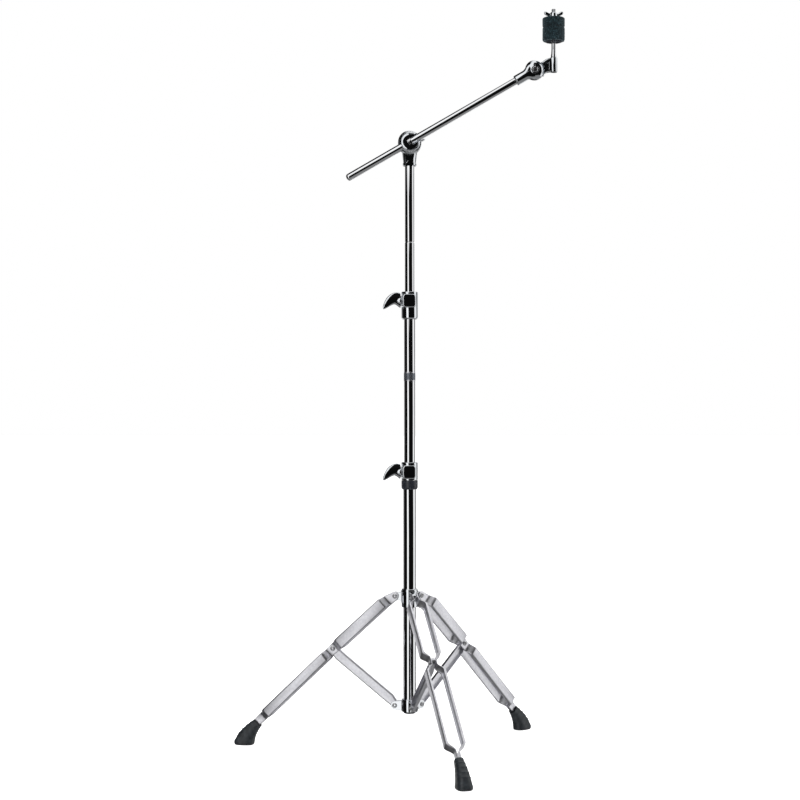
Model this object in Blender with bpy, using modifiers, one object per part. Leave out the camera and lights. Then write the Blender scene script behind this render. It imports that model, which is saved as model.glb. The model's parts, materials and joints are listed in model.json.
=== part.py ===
"""A cymbal boom stand: a folding tripod with double-braced legs, a three-stage telescopic column, a boom arm held
in a toothed tilter, and a cymbal post with its felts on a second, smaller tilter.

Metres, +Z up, the boom leaning towards +X, the front of the stand towards -Y and the floor at Z = 0. The origin is
the middle of the whole stand's footprint box, so the column stands a little to one side of it.
"""

import math

import bmesh
import bpy
from mathutils import Matrix, Vector

MM = 0.001
GAP = 0.3 * MM  # between pieces that rest on or fill one another

# the column's place, which brings the middle of the footprint box to the origin
COLUMN = Vector((25.31, 42.07, 0.0)) * MM

# three telescopic tubes
BASE_TUBE_R = 12.7 * MM
MIDDLE_TUBE_R = 11.1 * MM
UPPER_TUBE_R = 9.55 * MM
TUBE_WALL = 1.2 * MM
BASE_TUBE_Z = (80 * MM, 558 * MM)
MIDDLE_TUBE_Z = (400 * MM, 892 * MM)
UPPER_TUBE_Z = (690 * MM, 1170 * MM)
SEAM_Z = 1000 * MM  # the upper tube is rolled in here, and a little thinner above

# the tripod: leg azimuths from straight ahead (-Y) towards +X, and each leg's three pivots as (radius, height)
LEG_AZIMUTHS = (16, 136, 256)
TOP_PIVOT = Vector((28.5, 0, 306.0)) * MM
LOW_PIVOT = Vector((28.5, 0, 92.0)) * MM
MID_PIVOT = Vector((155.3, 0, 199.0)) * MM
LEG_SLOPE = math.radians(43.4)  # of a leg's strips below the horizontal
STAY_SLOPE = math.atan2(MID_PIVOT.z - LOW_PIVOT.z, MID_PIVOT.x - LOW_PIVOT.x)
STAY_LENGTH = (MID_PIVOT - LOW_PIVOT).length
STRIP_GAUGE = 1.6 * MM
STRIP_SPREAD = 19.5 * MM  # from a leg's middle plane to a strip's outer face
STRIP_PINCH = 6.25 * MM  # the same, where the strips close on the stay and on the collar's lug
FOOT_PINCH = 4.2 * MM
STRIP_DEPTH = 4.8 * MM
PINCH_DEPTH = 1.95 * MM
SHOULDER = 2.6 * MM
STAY_HALF = 4.0 * MM
LUG_HALF = 4.0 * MM
EAR_FACES = (4.6 * MM, 6.8 * MM)
RIVET_R = 2.9 * MM
RIVET_HOLE_R = 3.15 * MM

# collars and clamps
COLLAR_BORE_R = 12.98 * MM
LEG_COLLAR_Z = (285 * MM, 321 * MM)
STAY_COLLAR_Z = (80.5 * MM, 105 * MM)
COLLAR_R = 16.2 * MM
LEG_BOLT_AZIMUTH = 196
CLAMP_R = 16.4 * MM
LOWER_CLAMP_Z = (534.3 * MM, 569 * MM)
SLEEVE_Z = (516 * MM, 534 * MM)
UPPER_CLAMP_Z = (849 * MM, 903 * MM)
CLAMP_BOLT_AZIMUTH = 282
LOWER_BOLT_Z = 550.0 * MM
UPPER_BOLT_Z = 885.0 * MM
BOLT_R = 3.9 * MM
BOLT_HOLE_R = 4.2 * MM

# the boom
BOOM_PLANE = -24 * MM  # the rod runs this far in front of the column
BOOM_PIVOT_Z = 1193.1 * MM
BOOM_SLOPE = math.radians(30)
BOOM_R = 7.15 * MM
BOOM_TAIL = -136 * MM  # along the rod from the tilter's axis
BOOM_TIP = 261.5 * MM
DISC_R = 23.0 * MM
HOLDER_FACE = -11.0 * MM
HOLDER_BACK = 14.0 * MM
CLAMP_BACK = -11.4 * MM
CLAMP_FRONT = -32.6 * MM
TIP_PIVOT = 281 * MM
TIP_DISC_R = 18.8 * MM
POST_REACH = 37 * MM  # from the small tilter's axis out to the cymbal post
SOCKET_Z = (-4.6 * MM, 24.4 * MM)
POST_TOP = 118.6 * MM  # above the small tilter's axis
POST_R = 4.4 * MM
THREAD_R = 3.9 * MM
FELT_R = 21.6 * MM
FELT_BASE = 56.0 * MM

ROUND = 32
SMALL_ROUND = 14
SHARP = math.radians(35)
ALONG_X = (0, math.radians(90), 0)
ALONG_BACK = (math.radians(-90), 0, 0)
ALONG_FRONT = (math.radians(90), 0, 0)

PAINTS = {
    "chrome": ((0.78, 0.79, 0.80), 0.10, 1.0),
    "satin_chrome": ((0.70, 0.70, 0.72), 0.28, 1.0),
    "steel": ((0.62, 0.62, 0.63), 0.30, 1.0),
    "black_plastic": ((0.02, 0.02, 0.022), 0.35, 0.0),
    "black_rubber": ((0.025, 0.026, 0.028), 0.60, 0.0),
    "black_felt": ((0.045, 0.055, 0.060), 0.95, 0.0),
}


def clear_scene():
    for obj in list(bpy.data.objects):
        bpy.data.objects.remove(obj)


def new_collection(name):
    home = bpy.data.collections.new(name)
    bpy.context.scene.collection.children.link(home)
    return home


def new_material(name, colour, roughness, metallic):
    material = bpy.data.materials.new(name)
    material.use_nodes = True
    shader = material.node_tree.nodes["Principled BSDF"]
    shader.inputs["Base Color"].default_value = (*colour, 1)
    shader.inputs["Roughness"].default_value = roughness
    shader.inputs["Metallic"].default_value = metallic
    return material


clear_scene()
PARTS = new_collection("cymbal_boom_stand")
CUTTERS = new_collection("cutters")
MATERIALS = {name: new_material(name, *look) for name, look in PAINTS.items()}


# ---------------------------------------------------------------- shapes


def empty(name, parent=None, location=(0, 0, 0), rotation=(0, 0, 0)):
    """A joint's frame, which the pieces that turn or slide together hang from."""
    obj = bpy.data.objects.new(name, None)
    obj.empty_display_size = 0.02
    PARTS.objects.link(obj)
    return place(obj, parent, location, rotation)


def place(obj, parent, location=(0, 0, 0), rotation=(0, 0, 0)):
    obj.parent = parent
    obj.location = location
    obj.rotation_euler = rotation
    return obj


def mesh_object(name, bm, paint):
    if bm.faces:
        bmesh.ops.recalc_face_normals(bm, faces=bm.faces)
    mesh = bpy.data.meshes.new(name)
    bm.to_mesh(mesh)
    bm.free()
    mesh.shade_smooth()
    mesh.set_sharp_from_angle(angle=SHARP)
    mesh.materials.append(MATERIALS[paint])
    obj = bpy.data.objects.new(name, mesh)
    PARTS.objects.link(obj)
    return obj


def turned(name, paint, profile, ring=False, steps=ROUND):
    """A piece turned about Z from a (radius, height) profile, which for a ring comes back up its bore."""
    bm = bmesh.new()
    points = [bm.verts.new((radius, 0, height)) for radius, height in profile]
    for here, there in zip(points, points[1:]):
        bm.edges.new((here, there))
    if ring:
        bm.edges.new((points[-1], points[0]))
    obj = mesh_object(name, bm, paint)
    screw = obj.modifiers.new("turn", "SCREW")
    screw.steps = screw.render_steps = steps
    screw.use_merge_vertices = True
    screw.merge_threshold = 0.00001
    screw.use_smooth_shade = True
    return obj


def tube(name, paint, outer, inner, low, high, steps=ROUND):
    profile = [(outer, high), (outer, low), (inner, low), (inner, high)]
    return turned(name, paint, profile, ring=True, steps=steps)


def rod(name, paint, radius, low, high, steps=ROUND):
    """A plain cylinder along Z."""
    bm = bmesh.new()
    middle = Matrix.Translation((0, 0, (low + high) / 2))
    bmesh.ops.create_cone(
        bm, cap_ends=True, segments=steps, radius1=radius, radius2=radius, depth=high - low, matrix=middle
    )
    return mesh_object(name, bm, paint)


def block(name, paint, low, high, bevel=0.0):
    bm = bmesh.new()
    low, high = Vector(low), Vector(high)
    shape = Matrix.Translation((low + high) / 2) @ Matrix.Diagonal((*(high - low), 1))
    bmesh.ops.create_cube(bm, size=1, matrix=shape)
    if bevel:
        bmesh.ops.bevel(bm, geom=bm.edges[:], offset=bevel, segments=1, affect="EDGES")
    return mesh_object(name, bm, paint)


def plate(name, paint, outline, thickness, rounded=True, detail=2):
    """A flat piece in the XZ plane with this (x, z) outline, its thickness centred on Y = 0.

    A rounded outline is drawn smoothly through its points, but for a straight root between the last and the first.
    """
    curve = bpy.data.curves.new(name, "CURVE")
    curve.dimensions = "2D"
    curve.fill_mode = "BOTH"
    curve.extrude = thickness / 2
    curve.resolution_u = detail
    if rounded:
        spline = curve.splines.new("BEZIER")
        spline.bezier_points.add(len(outline) - 1)
        for point, (x, z) in zip(spline.bezier_points, outline):
            point.co = (x, z, 0)
            corner = (x, z) in (outline[0], outline[-1])
            point.handle_left_type = point.handle_right_type = "VECTOR" if corner else "AUTO"
    else:
        spline = curve.splines.new("POLY")
        spline.points.add(len(outline) - 1)
        for point, (x, z) in zip(spline.points, outline):
            point.co = (x, z, 0, 1)
    spline.use_cyclic_u = True
    guide = bpy.data.objects.new(name + "_outline", curve)
    PARTS.objects.link(guide)
    bpy.context.view_layer.update()
    flat = bpy.data.meshes.new_from_object(guide.evaluated_get(bpy.context.evaluated_depsgraph_get()))
    bm = bmesh.new()
    bm.from_mesh(flat)
    bmesh.ops.remove_doubles(bm, verts=bm.verts, dist=0.00001)
    bmesh.ops.rotate(bm, verts=bm.verts, matrix=Matrix.Rotation(math.radians(90), 3, "X"))
    bpy.data.objects.remove(guide)
    bpy.data.meshes.remove(flat)
    return mesh_object(name, bm, paint)


def loft(name, paint, rings):
    """A closed solid through rings of points, all with the same number of points, with a flat cap at each end."""
    bm = bmesh.new()
    rows = [[bm.verts.new(point) for point in ring] for ring in rings]
    for here, there in zip(rows, rows[1:]):
        for i in range(len(here)):
            j = (i + 1) % len(here)
            bm.faces.new((here[i], here[j], there[j], there[i]))
    bm.faces.new(rows[0])
    bm.faces.new(rows[-1])
    return mesh_object(name, bm, paint)


def boolean(piece, tool, operation, location, rotation):
    modifier = piece.modifiers.new(operation.lower(), "BOOLEAN")
    modifier.operation = operation
    modifier.object = tool
    PARTS.objects.unlink(tool)
    CUTTERS.objects.link(tool)
    tool.hide_render = True
    tool.display_type = "WIRE"
    place(tool, piece, location, rotation)


def cut(piece, tool, location=(0, 0, 0), rotation=(0, 0, 0)):
    boolean(piece, tool, "DIFFERENCE", location, rotation)


def join(piece, tool, location=(0, 0, 0), rotation=(0, 0, 0)):
    boolean(piece, tool, "UNION", location, rotation)


# ---------------------------------------------------------------- legs and stays


def channel_ring(along, centre, half, face, depth):
    """One cross-section of a pressed channel: its web at y = face, and two lips turned back by depth."""
    radius = min(SHOULDER, 0.7 * depth)
    arc = [radius * (1 - math.sin(math.radians(a))) for a in (0, 45, 90)]
    outer = [(half, face - depth)]
    outer += [(half - radius + radius * math.cos(math.radians(a)), face - arc[i]) for i, a in enumerate((0, 45, 90))]
    outer += [(-z, y) for z, y in reversed(outer)]
    inner = [
        (STRIP_GAUGE - half, face - depth),
        (STRIP_GAUGE - half, face - STRIP_GAUGE),
        (half - STRIP_GAUGE, face - STRIP_GAUGE),
        (half - STRIP_GAUGE, face - depth),
    ]
    return [Vector((along, y, centre + z)) for z, y in outer + inner]


def eased(first, last, steps):
    """Stations that lead one cross-section smoothly into the next, without the two ends."""
    between = []
    for i in range(1, steps):
        share = i / steps
        ease = share * share * (3 - 2 * share)
        along = first[0] + (last[0] - first[0]) * share
        between.append((along, *(a + (b - a) * ease for a, b in zip(first[1:], last[1:]))))
    return between


def leg_stations():
    """A leg strip from its collar end to the foot: along, centre, half width, outer face and depth, in millimetres.

    Along runs down the leg from the middle pivot. The strips close on the collar's lug, on the stay and in the foot,
    and spread apart between them.
    """
    pinch, spread, foot = (v / MM for v in (STRIP_PINCH, STRIP_SPREAD, FOOT_PINCH))
    flat, deep = PINCH_DEPTH / MM, STRIP_DEPTH / MM
    ends = [
        (-173.6, -9.3, 4.4, pinch, flat),
        (-171.0, -9.2, 7.3, pinch, flat),
        (-163.0, -8.6, 9.0, pinch, flat),
        (-151.0, -5.6, 10.6, pinch, flat),
        (-138.0, -3.6, 11.2, spread, deep),
        (-20.0, -1.8, 11.2, spread, deep),
        (-5.5, -1.3, 9.8, pinch, flat),
        (8.5, -1.3, 9.4, pinch, flat),
        (23.0, -1.5, 9.8, spread, deep),
        (187.0, -2.2, 9.8, spread, deep),
        (203.0, -2.4, 8.6, foot, flat),
        (230.0, -2.4, 7.4, foot, flat),
    ]
    stations = [ends[0]]
    for first, last in zip(ends, ends[1:]):
        if first[3] != last[3]:
            stations += eased(first, last, 3)
        stations.append(last)
    return [tuple(v * MM for v in station) for station in stations]


def strip(name, side):
    rings = [channel_ring(*station) for station in leg_stations()]
    if side < 0:
        rings = [[Vector((p.x, -p.y, p.z)) for p in ring] for ring in rings]
    return loft(name, "satin_chrome", rings)


def stay(name):
    """A stay: one channel between the strips, from its pivot on the lower collar (at the origin) to the leg's."""
    length = STAY_LENGTH / MM
    half, depth = STAY_HALF / MM, 2 * STAY_HALF / MM
    stations = [
        (-7.4, 0.0, 4.2, half, depth),
        (-4.8, 0.1, 7.0, half, depth),
        (6.0, 1.2, 7.8, half, depth),
        (16.0, 2.4, 10.0, half, depth),
        (length - 16.0, -2.9, 10.0, half, depth),
        (length - 6.0, -1.5, 7.8, half, depth),
        (length + 4.8, -0.1, 7.0, half, depth),
        (length + 7.4, 0.0, 4.2, half, depth),
    ]
    return loft(name, "satin_chrome", [channel_ring(*(v * MM for v in station)) for station in stations])


def rivet(name, grip):
    """A domed rivet along Y, whose heads sit on faces this far each side of the middle plane."""
    face = grip + GAP
    head = [(0, 2.3), (3.0, 1.8), (4.8, 0)]
    top = [(radius * MM, face + height * MM) for radius, height in head]
    profile = [*top, (RIVET_R, face), (RIVET_R, -face)]
    profile += [(radius, -height) for radius, height in reversed(top)]
    return turned(name, "steel", profile, steps=12)


def pivot_hole(piece, location):
    cut(piece, rod("pivot_hole", "steel", RIVET_HOLE_R, -0.03, 0.03, SMALL_ROUND), location, ALONG_FRONT)


def foot_ring(radius, height, tilt, half_run, half_side, count=16):
    """A rounded section of a rubber foot: its centre, its lean from the floor, and its half sizes, in millimetres."""
    run = Vector((math.cos(math.radians(tilt)), 0, math.sin(math.radians(tilt))))
    ring = []
    for i in range(count):
        angle = 2 * math.pi * i / count
        c, s = math.cos(angle), math.sin(angle)
        across = math.copysign(abs(c) ** 0.8, c) * half_run
        aside = math.copysign(abs(s) ** 0.8, s) * half_side
        ring.append(((Vector((radius, 0, height)) + run * across + Vector((0, aside, 0))) * MM))
    return ring


def rubber_foot(name):
    """A boot over both strip ends, flared down to a flat sole. Its frame is the leg's middle plane, at the column."""
    rings = [
        foot_ring(312.0, 45.5, 46.6, 9.6, 8.6),
        foot_ring(318.5, 39.0, 44.0, 11.0, 9.6),
        foot_ring(329.0, 27.0, 32.0, 14.5, 11.6),
        foot_ring(337.0, 14.5, 18.0, 18.2, 13.4),
        foot_ring(342.0, 5.5, 6.0, 21.0, 15.2),
        foot_ring(342.0, 1.6, 0.0, 20.0, 14.8),
        foot_ring(342.0, 0.0, 0.0, 17.6, 12.8),
    ]
    return loft(name, "black_rubber", rings)


def build_leg(number, azimuth, column):
    leg = f"leg_{number}"
    turn = (0, 0, math.radians(azimuth - 90))
    plane = empty(f"{leg}_plane", column, rotation=turn)
    swing = empty(f"{leg}_pivot", plane, MID_PIVOT)
    line = empty(f"{leg}_line", swing, rotation=(0, LEG_SLOPE, 0))
    to_top = Matrix.Rotation(-LEG_SLOPE, 3, "Y") @ (TOP_PIVOT - MID_PIVOT)
    for side, word in ((1, "left"), (-1, "right")):
        piece = place(strip(f"{leg}_{word}_strip", side), line)
        pivot_hole(piece, to_top)
        pivot_hole(piece, (0, 0, 0))
    place(rivet(f"{leg}_mid_rivet", STRIP_PINCH), swing, rotation=ALONG_FRONT)
    place(rivet(f"{leg}_top_rivet", STRIP_PINCH), swing, TOP_PIVOT - MID_PIVOT, ALONG_FRONT)

    boot = place(rubber_foot(f"{leg}_foot"), swing, -MID_PIVOT)
    socket = block("foot_socket", "steel", (202 * MM, -4.6 * MM, -10.8 * MM), (230.4 * MM, 4.6 * MM, 6.0 * MM))
    cut(boot, socket, MID_PIVOT, (0, LEG_SLOPE, 0))

    brace = empty(f"stay_{number}_pivot", plane, LOW_PIVOT, (0, -STAY_SLOPE, 0))
    bar = place(stay(f"stay_{number}"), brace)
    pivot_hole(bar, (0, 0, 0))
    pivot_hole(bar, (STAY_LENGTH, 0, 0))
    place(rivet(f"stay_{number}_rivet", EAR_FACES[1]), plane, LOW_PIVOT, ALONG_FRONT)


def around_legs(piece, make_tool, operation):
    """Joins or cuts the same tool at each of the three legs."""
    for azimuth in LEG_AZIMUTHS:
        operation(piece, make_tool(), rotation=(0, 0, math.radians(azimuth - 90)))


def stay_collar():
    low, high = STAY_COLLAR_Z
    bevel = 1.2 * MM
    side = [(COLLAR_R - bevel, high), (COLLAR_R, high - bevel), (COLLAR_R, low + bevel), (COLLAR_R - bevel, low)]
    piece = turned("stay_collar", "chrome", [(0, high), *side, (0, low)])
    gap, out = EAR_FACES
    reach, half = LOW_PIVOT.x, 8.4 * MM
    around_legs(piece, lambda: lug("clevis", reach, LOW_PIVOT.z, half, out), join)
    slot = ((COLLAR_R + 0.6 * MM, -gap, low - MM), (reach + 12 * MM, gap, high + MM))
    around_legs(piece, lambda: block("clevis_slot", "chrome", *slot), cut)
    cut(piece, rod("collar_bore", "chrome", COLLAR_BORE_R, low - MM, high + MM))
    around_legs(piece, lambda: pin_cutter(reach, LOW_PIVOT.z), cut)
    return piece


def lug(name, reach, height, half, side):
    """A round-ended ear that stands out from a collar to a pivot at this reach and height."""
    arc = [math.radians(a) for a in range(-90, 91, 30)]
    outline = [(reach + half * math.cos(a), height + half * math.sin(a)) for a in arc]
    outline += [(13.6 * MM, height + half + 1.6 * MM), (13.6 * MM, height - half - 1.6 * MM)]
    return plate(name, "chrome", outline, 2 * side, rounded=False)


def pin_cutter(reach, height):
    """A pivot hole through a lug, modelled lying along Y."""
    bm = bmesh.new()
    lie = Matrix.Translation((reach, 0, height)) @ Matrix.Rotation(math.radians(90), 4, "X")
    bmesh.ops.create_cone(
        bm, cap_ends=True, segments=SMALL_ROUND, radius1=RIVET_HOLE_R, radius2=RIVET_HOLE_R, depth=0.03, matrix=lie
    )
    return mesh_object("lug_hole", bm, "chrome")


def leg_collar():
    low, high = LEG_COLLAR_Z
    bevel = 1.5 * MM
    side = [(COLLAR_R - bevel, high), (COLLAR_R, high - bevel), (COLLAR_R, low + bevel), (COLLAR_R - bevel, low)]
    piece = turned("leg_collar", "chrome", [(0, high), *side, (0, low)])
    around_legs(piece, lambda: lug("leg_lug", TOP_PIVOT.x, TOP_PIVOT.z, 7.6 * MM, LUG_HALF), join)
    middle = (low + high) / 2
    turn = (math.radians(90), 0, math.radians(LEG_BOLT_AZIMUTH))
    join(piece, rod("bolt_boss", "chrome", 8.5 * MM, 10 * MM, 22 * MM, 20), (0, 0, middle), turn)
    cut(piece, rod("collar_bore", "chrome", COLLAR_BORE_R, low - MM, high + MM))
    around_legs(piece, lambda: pin_cutter(TOP_PIVOT.x, TOP_PIVOT.z), cut)
    cut(piece, rod("bolt_hole", "chrome", BOLT_HOLE_R, 6 * MM, 30 * MM, SMALL_ROUND), (0, 0, middle), turn)
    return piece


# ---------------------------------------------------------------- clamps and bolts

# a bolt's thumb fin, as (outwards from the boss, up), in millimetres
FIN = (
    (1.2, 15.5),
    (9.0, 17.0),
    (18.0, 14.0),
    (26.5, 7.5),
    (32.0, -1.0),
    (35.8, -11.5),
    (34.2, -16.4),
    (27.5, -14.2),
    (19.0, -9.2),
    (12.0, -6.4),
    (6.0, -10.5),
    (1.2, -14.0),
)
FIN_THICKNESS = 5.2 * MM


def thumb_bolt(name, boss_face, tip):
    """A clamping bolt along +X: its shank from radius tip out to the boss, a round head, and one drooping fin."""
    piece = turned(
        name,
        "chrome",
        [
            (0, boss_face + 15 * MM),
            (4.6 * MM, boss_face + 14 * MM),
            (7.4 * MM, boss_face + 8 * MM),
            (8.0 * MM, boss_face + GAP),
            (BOLT_R, boss_face + GAP),
            (BOLT_R, tip),
            (0, tip),
        ],
        steps=20,
    )
    outline = [(boss_face + x * MM, z * MM) for x, z in FIN]
    fin = plate("fin", "chrome", outline, FIN_THICKNESS)
    join(piece, fin, rotation=(0, math.radians(-90), 0))
    return piece


def bolt_frame(name, parent, azimuth, height):
    """A frame on the column's axis whose X points out along a bolt."""
    return empty(name, parent, (0, 0, height), (0, 0, math.radians(azimuth - 90)))


def clamp(name, height, bolt_height, bore_profile, top_round, bottom_round):
    """A tube clamp: a round body with a squared boss at the side where its bolt goes in."""
    low, high = height
    profile = [(0, high), (CLAMP_R - top_round, high), (CLAMP_R, high - top_round)]
    profile += [
        (CLAMP_R - bottom_round * (1 - math.cos(a)), low + bottom_round * (1 - math.sin(a)))
        for a in (0, math.radians(30), math.radians(60), math.radians(90))
    ]
    profile.append((0, low))
    piece = turned(name, "chrome", profile)
    half = 13.6 * MM
    boss = block("boss", "chrome", (-9.5 * MM, -9.0 * MM, -half), (17.6 * MM, 17.4 * MM, half), 2.2 * MM)
    turn = math.radians(CLAMP_BOLT_AZIMUTH - 90)
    join(piece, boss, (0, 0, bolt_height), (0, 0, turn))
    cut(piece, turned("clamp_bore", "chrome", bore_profile))
    bolt_hole = rod("bolt_hole", "chrome", BOLT_HOLE_R, 6 * MM, 30 * MM, SMALL_ROUND)
    cut(piece, bolt_hole, (0, 0, bolt_height), (0, math.radians(90), turn))
    return piece


def build_lower_clamp(column):
    low, high = LOWER_CLAMP_Z
    seat = BASE_TUBE_Z[1] + GAP
    bushing_r = 14.8 * MM
    bore = [
        (0, high + MM),
        (MIDDLE_TUBE_R + 0.5 * MM, high + MM),
        (MIDDLE_TUBE_R + 0.5 * MM, high - 0.8 * MM),
        (bushing_r + GAP, high - 0.8 * MM),
        (bushing_r + GAP, seat),
        (COLLAR_BORE_R, seat),
        (COLLAR_BORE_R, low - MM),
        (0, low - MM),
    ]
    place(clamp("lower_clamp", LOWER_CLAMP_Z, LOWER_BOLT_Z, bore, 1.4 * MM, 0.8 * MM), column)
    bottom, top = SLEEVE_Z
    sleeve = [
        (CLAMP_R - 0.2 * MM, top - GAP),
        (CLAMP_R - 0.2 * MM, bottom + 3.0 * MM),
        (CLAMP_R - 1.4 * MM, bottom),
        (COLLAR_BORE_R, bottom),
        (COLLAR_BORE_R, top - GAP),
    ]
    place(turned("lower_clamp_sleeve", "black_plastic", sleeve, ring=True), column)
    swivel = empty("lower_swivel", column)
    lining = tube(
        "lower_bushing", "black_plastic", bushing_r, MIDDLE_TUBE_R + GAP, seat + GAP, high - 0.8 * MM - GAP
    )
    place(lining, swivel)
    turn = bolt_frame("lower_bolt_axis", column, CLAMP_BOLT_AZIMUTH, LOWER_BOLT_Z)
    bolt = thumb_bolt("lower_clamp_bolt", 17.6 * MM, BASE_TUBE_R + GAP)
    place(bolt, turn, rotation=ALONG_X)
    return swivel


def build_upper_clamp(slide):
    low, high = UPPER_CLAMP_Z
    seat = MIDDLE_TUBE_Z[1] + GAP
    bushing_r = 13.6 * MM
    bore = [
        (0, high + MM),
        (UPPER_TUBE_R + 0.5 * MM, high + MM),
        (UPPER_TUBE_R + 0.5 * MM, high - 0.8 * MM),
        (bushing_r + GAP, high - 0.8 * MM),
        (bushing_r + GAP, seat),
        (MIDDLE_TUBE_R + GAP, seat),
        (MIDDLE_TUBE_R + GAP, low - MM),
        (0, low - MM),
    ]
    place(clamp("upper_clamp", UPPER_CLAMP_Z, UPPER_BOLT_Z, bore, 1.4 * MM, 4.4 * MM), slide)
    swivel = empty("upper_swivel", slide)
    lining = tube(
        "upper_bushing", "black_plastic", bushing_r, UPPER_TUBE_R + GAP, seat + GAP, high - 0.8 * MM - GAP
    )
    place(lining, swivel)
    turn = bolt_frame("upper_bolt_axis", slide, CLAMP_BOLT_AZIMUTH, UPPER_BOLT_Z)
    bolt = thumb_bolt("upper_clamp_bolt", 17.6 * MM, MIDDLE_TUBE_R + GAP)
    place(bolt, turn, rotation=ALONG_X)
    return swivel


def build_base(column):
    low, high = BASE_TUBE_Z
    place(tube("base_tube", "chrome", BASE_TUBE_R, BASE_TUBE_R - TUBE_WALL, low, high), column)
    inner = BASE_TUBE_R - TUBE_WALL - GAP
    plug = [
        (0, low + 14 * MM),
        (inner - MM, low + 14 * MM),
        (inner, low + 12 * MM),
        (inner, low - GAP),
        (BASE_TUBE_R - 0.4 * MM, low - GAP),
        (BASE_TUBE_R - 1.4 * MM, low - 3.4 * MM),
        (0, low - 3.4 * MM),
    ]
    place(turned("base_tube_plug", "black_plastic", plug), column)
    place(stay_collar(), column)
    slide = empty("leg_collar_slide", column)
    place(leg_collar(), slide)
    middle = sum(LEG_COLLAR_Z) / 2
    turn = bolt_frame("leg_bolt_axis", slide, LEG_BOLT_AZIMUTH, middle)
    place(thumb_bolt("leg_collar_bolt", 22.0 * MM, BASE_TUBE_R + GAP), turn, rotation=ALONG_X)
    for number, azimuth in enumerate(LEG_AZIMUTHS, 1):
        build_leg(number, azimuth, column)


def build_column(column):
    slide = empty("middle_slide", build_lower_clamp(column))
    low, high = MIDDLE_TUBE_Z
    place(tube("middle_tube", "chrome", MIDDLE_TUBE_R, MIDDLE_TUBE_R - TUBE_WALL, low, high), slide)
    top = empty("upper_slide", build_upper_clamp(slide))
    low, high = UPPER_TUBE_Z
    thin = UPPER_TUBE_R - 0.2 * MM
    groove = UPPER_TUBE_R - 0.5 * MM
    bore = UPPER_TUBE_R - TUBE_WALL
    profile = [
        (thin, high),
        (thin, SEAM_Z + 1.2 * MM),
        (groove, SEAM_Z + 0.5 * MM),
        (groove, SEAM_Z - 0.5 * MM),
        (UPPER_TUBE_R, SEAM_Z - 1.2 * MM),
        (UPPER_TUBE_R, low),
        (bore, low),
        (bore, high),
    ]
    place(turned("upper_tube", "chrome", profile, ring=True), top)
    return top


# ---------------------------------------------------------------- boom


def wing_nut(name, hub_r, hub_length, bore_r, wings, thickness):
    """A wing nut along +Z from its seat at the origin; wings are outlines in its XZ plane."""
    hub = [
        (hub_r * 0.72, hub_length),
        (hub_r * 0.86, hub_length * 0.85),
        (hub_r, 0),
        (bore_r, 0),
        (bore_r, hub_length),
    ]
    piece = turned(name, "chrome", hub, ring=True, steps=20)
    for outline in wings:
        join(piece, plate("wing", "chrome", outline, thickness))
    cut(piece, rod("nut_bore", "chrome", bore_r, -5 * MM, hub_length + 12 * MM, SMALL_ROUND))
    return piece


def wing_outline(inner, outer, low, high, flip=1):
    """One wing: a rounded ear that leans away from the seat towards its tip."""
    mid = (inner + outer) / 2
    points = (
        (inner, low),
        (mid, low + 0.30 * (high - low)),
        (outer - 1.5 * MM, low + 0.42 * (high - low)),
        (outer, low + 0.72 * (high - low)),
        (outer - 3.5 * MM, high),
        (mid, low + 0.86 * (high - low)),
        (inner, low + 0.62 * (high - low)),
    )
    return [(flip * x, z) for x, z in points]


def build_holder(top):
    """The boom's tilter: the toothed socket on the tube, the rod clamp that turns against it, and its eye bolt."""
    neck_low = 1149.5 * MM
    pivot = Vector((0, 0, BOOM_PIVOT_Z))
    neck = [
        (0, 1188 * MM),
        (15.6 * MM, 1188 * MM),
        (15.2 * MM, 1176 * MM),
        (13.4 * MM, 1160 * MM),
        (12.4 * MM, neck_low + 1.2 * MM),
        (11.6 * MM, neck_low),
        (0, neck_low),
    ]
    base = place(turned("boom_holder", "chrome", neck), top)
    join(base, rod("holder_disc", "chrome", DISC_R, -2 * MM, 16 * MM, ROUND), pivot, ALONG_FRONT)
    join(base, rod("holder_boss", "chrome", 10.5 * MM, -16.0 * MM, 7 * MM, 24), pivot, ALONG_FRONT)
    cut(base, block("holder_face", "chrome", (-0.05, -0.05, 1.14), (0.05, HOLDER_FACE, 1.24)))
    cut(base, block("holder_back", "chrome", (-0.05, HOLDER_BACK, 1.14), (0.05, 0.05, 1.24)))
    cut(base, rod("tube_socket", "chrome", UPPER_TUBE_R + 0.1 * MM, neck_low - MM, UPPER_TUBE_Z[1] + GAP))
    cut(base, rod("eye_hole", "chrome", 4.3 * MM, -0.02, 0.03, SMALL_ROUND), pivot, ALONG_FRONT)

    tilt = empty("boom_tilt", top, (0, BOOM_PLANE, BOOM_PIVOT_Z), (0, -BOOM_SLOPE, 0))
    build_rod_clamp(tilt)
    eye = place(rod("boom_eye_bolt", "steel", 9.7 * MM, -4.0 * MM, 4.0 * MM, 24), tilt, rotation=ALONG_X)
    join(eye, rod("eye_shank", "steel", BOLT_R, 7.5 * MM, 53 * MM, SMALL_ROUND), rotation=ALONG_BACK)
    cut(eye, rod("eye_bore", "steel", BOOM_R + 0.25 * MM, -0.01, 0.01, ROUND))
    washer = tube("boom_nut_washer", "steel", 8.5 * MM, 4.3 * MM, 0, 1.5 * MM, 20)
    seat = HOLDER_BACK - BOOM_PLANE + GAP
    place(washer, tilt, (0, seat, 0), ALONG_BACK)
    nut_turn = empty("boom_nut_axis", tilt, (0, seat + 1.5 * MM + GAP, 0), (math.radians(-90), math.radians(6), 0))
    wings = (
        wing_outline(5.5 * MM, 33.5 * MM, 1.5 * MM, 15 * MM),
        wing_outline(5.5 * MM, 19.5 * MM, 1.5 * MM, 12 * MM, -1),
    )
    place(wing_nut("boom_wing_nut", 8.0 * MM, 11 * MM, 4.2 * MM, wings, 4.6 * MM), nut_turn)
    return tilt


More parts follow.
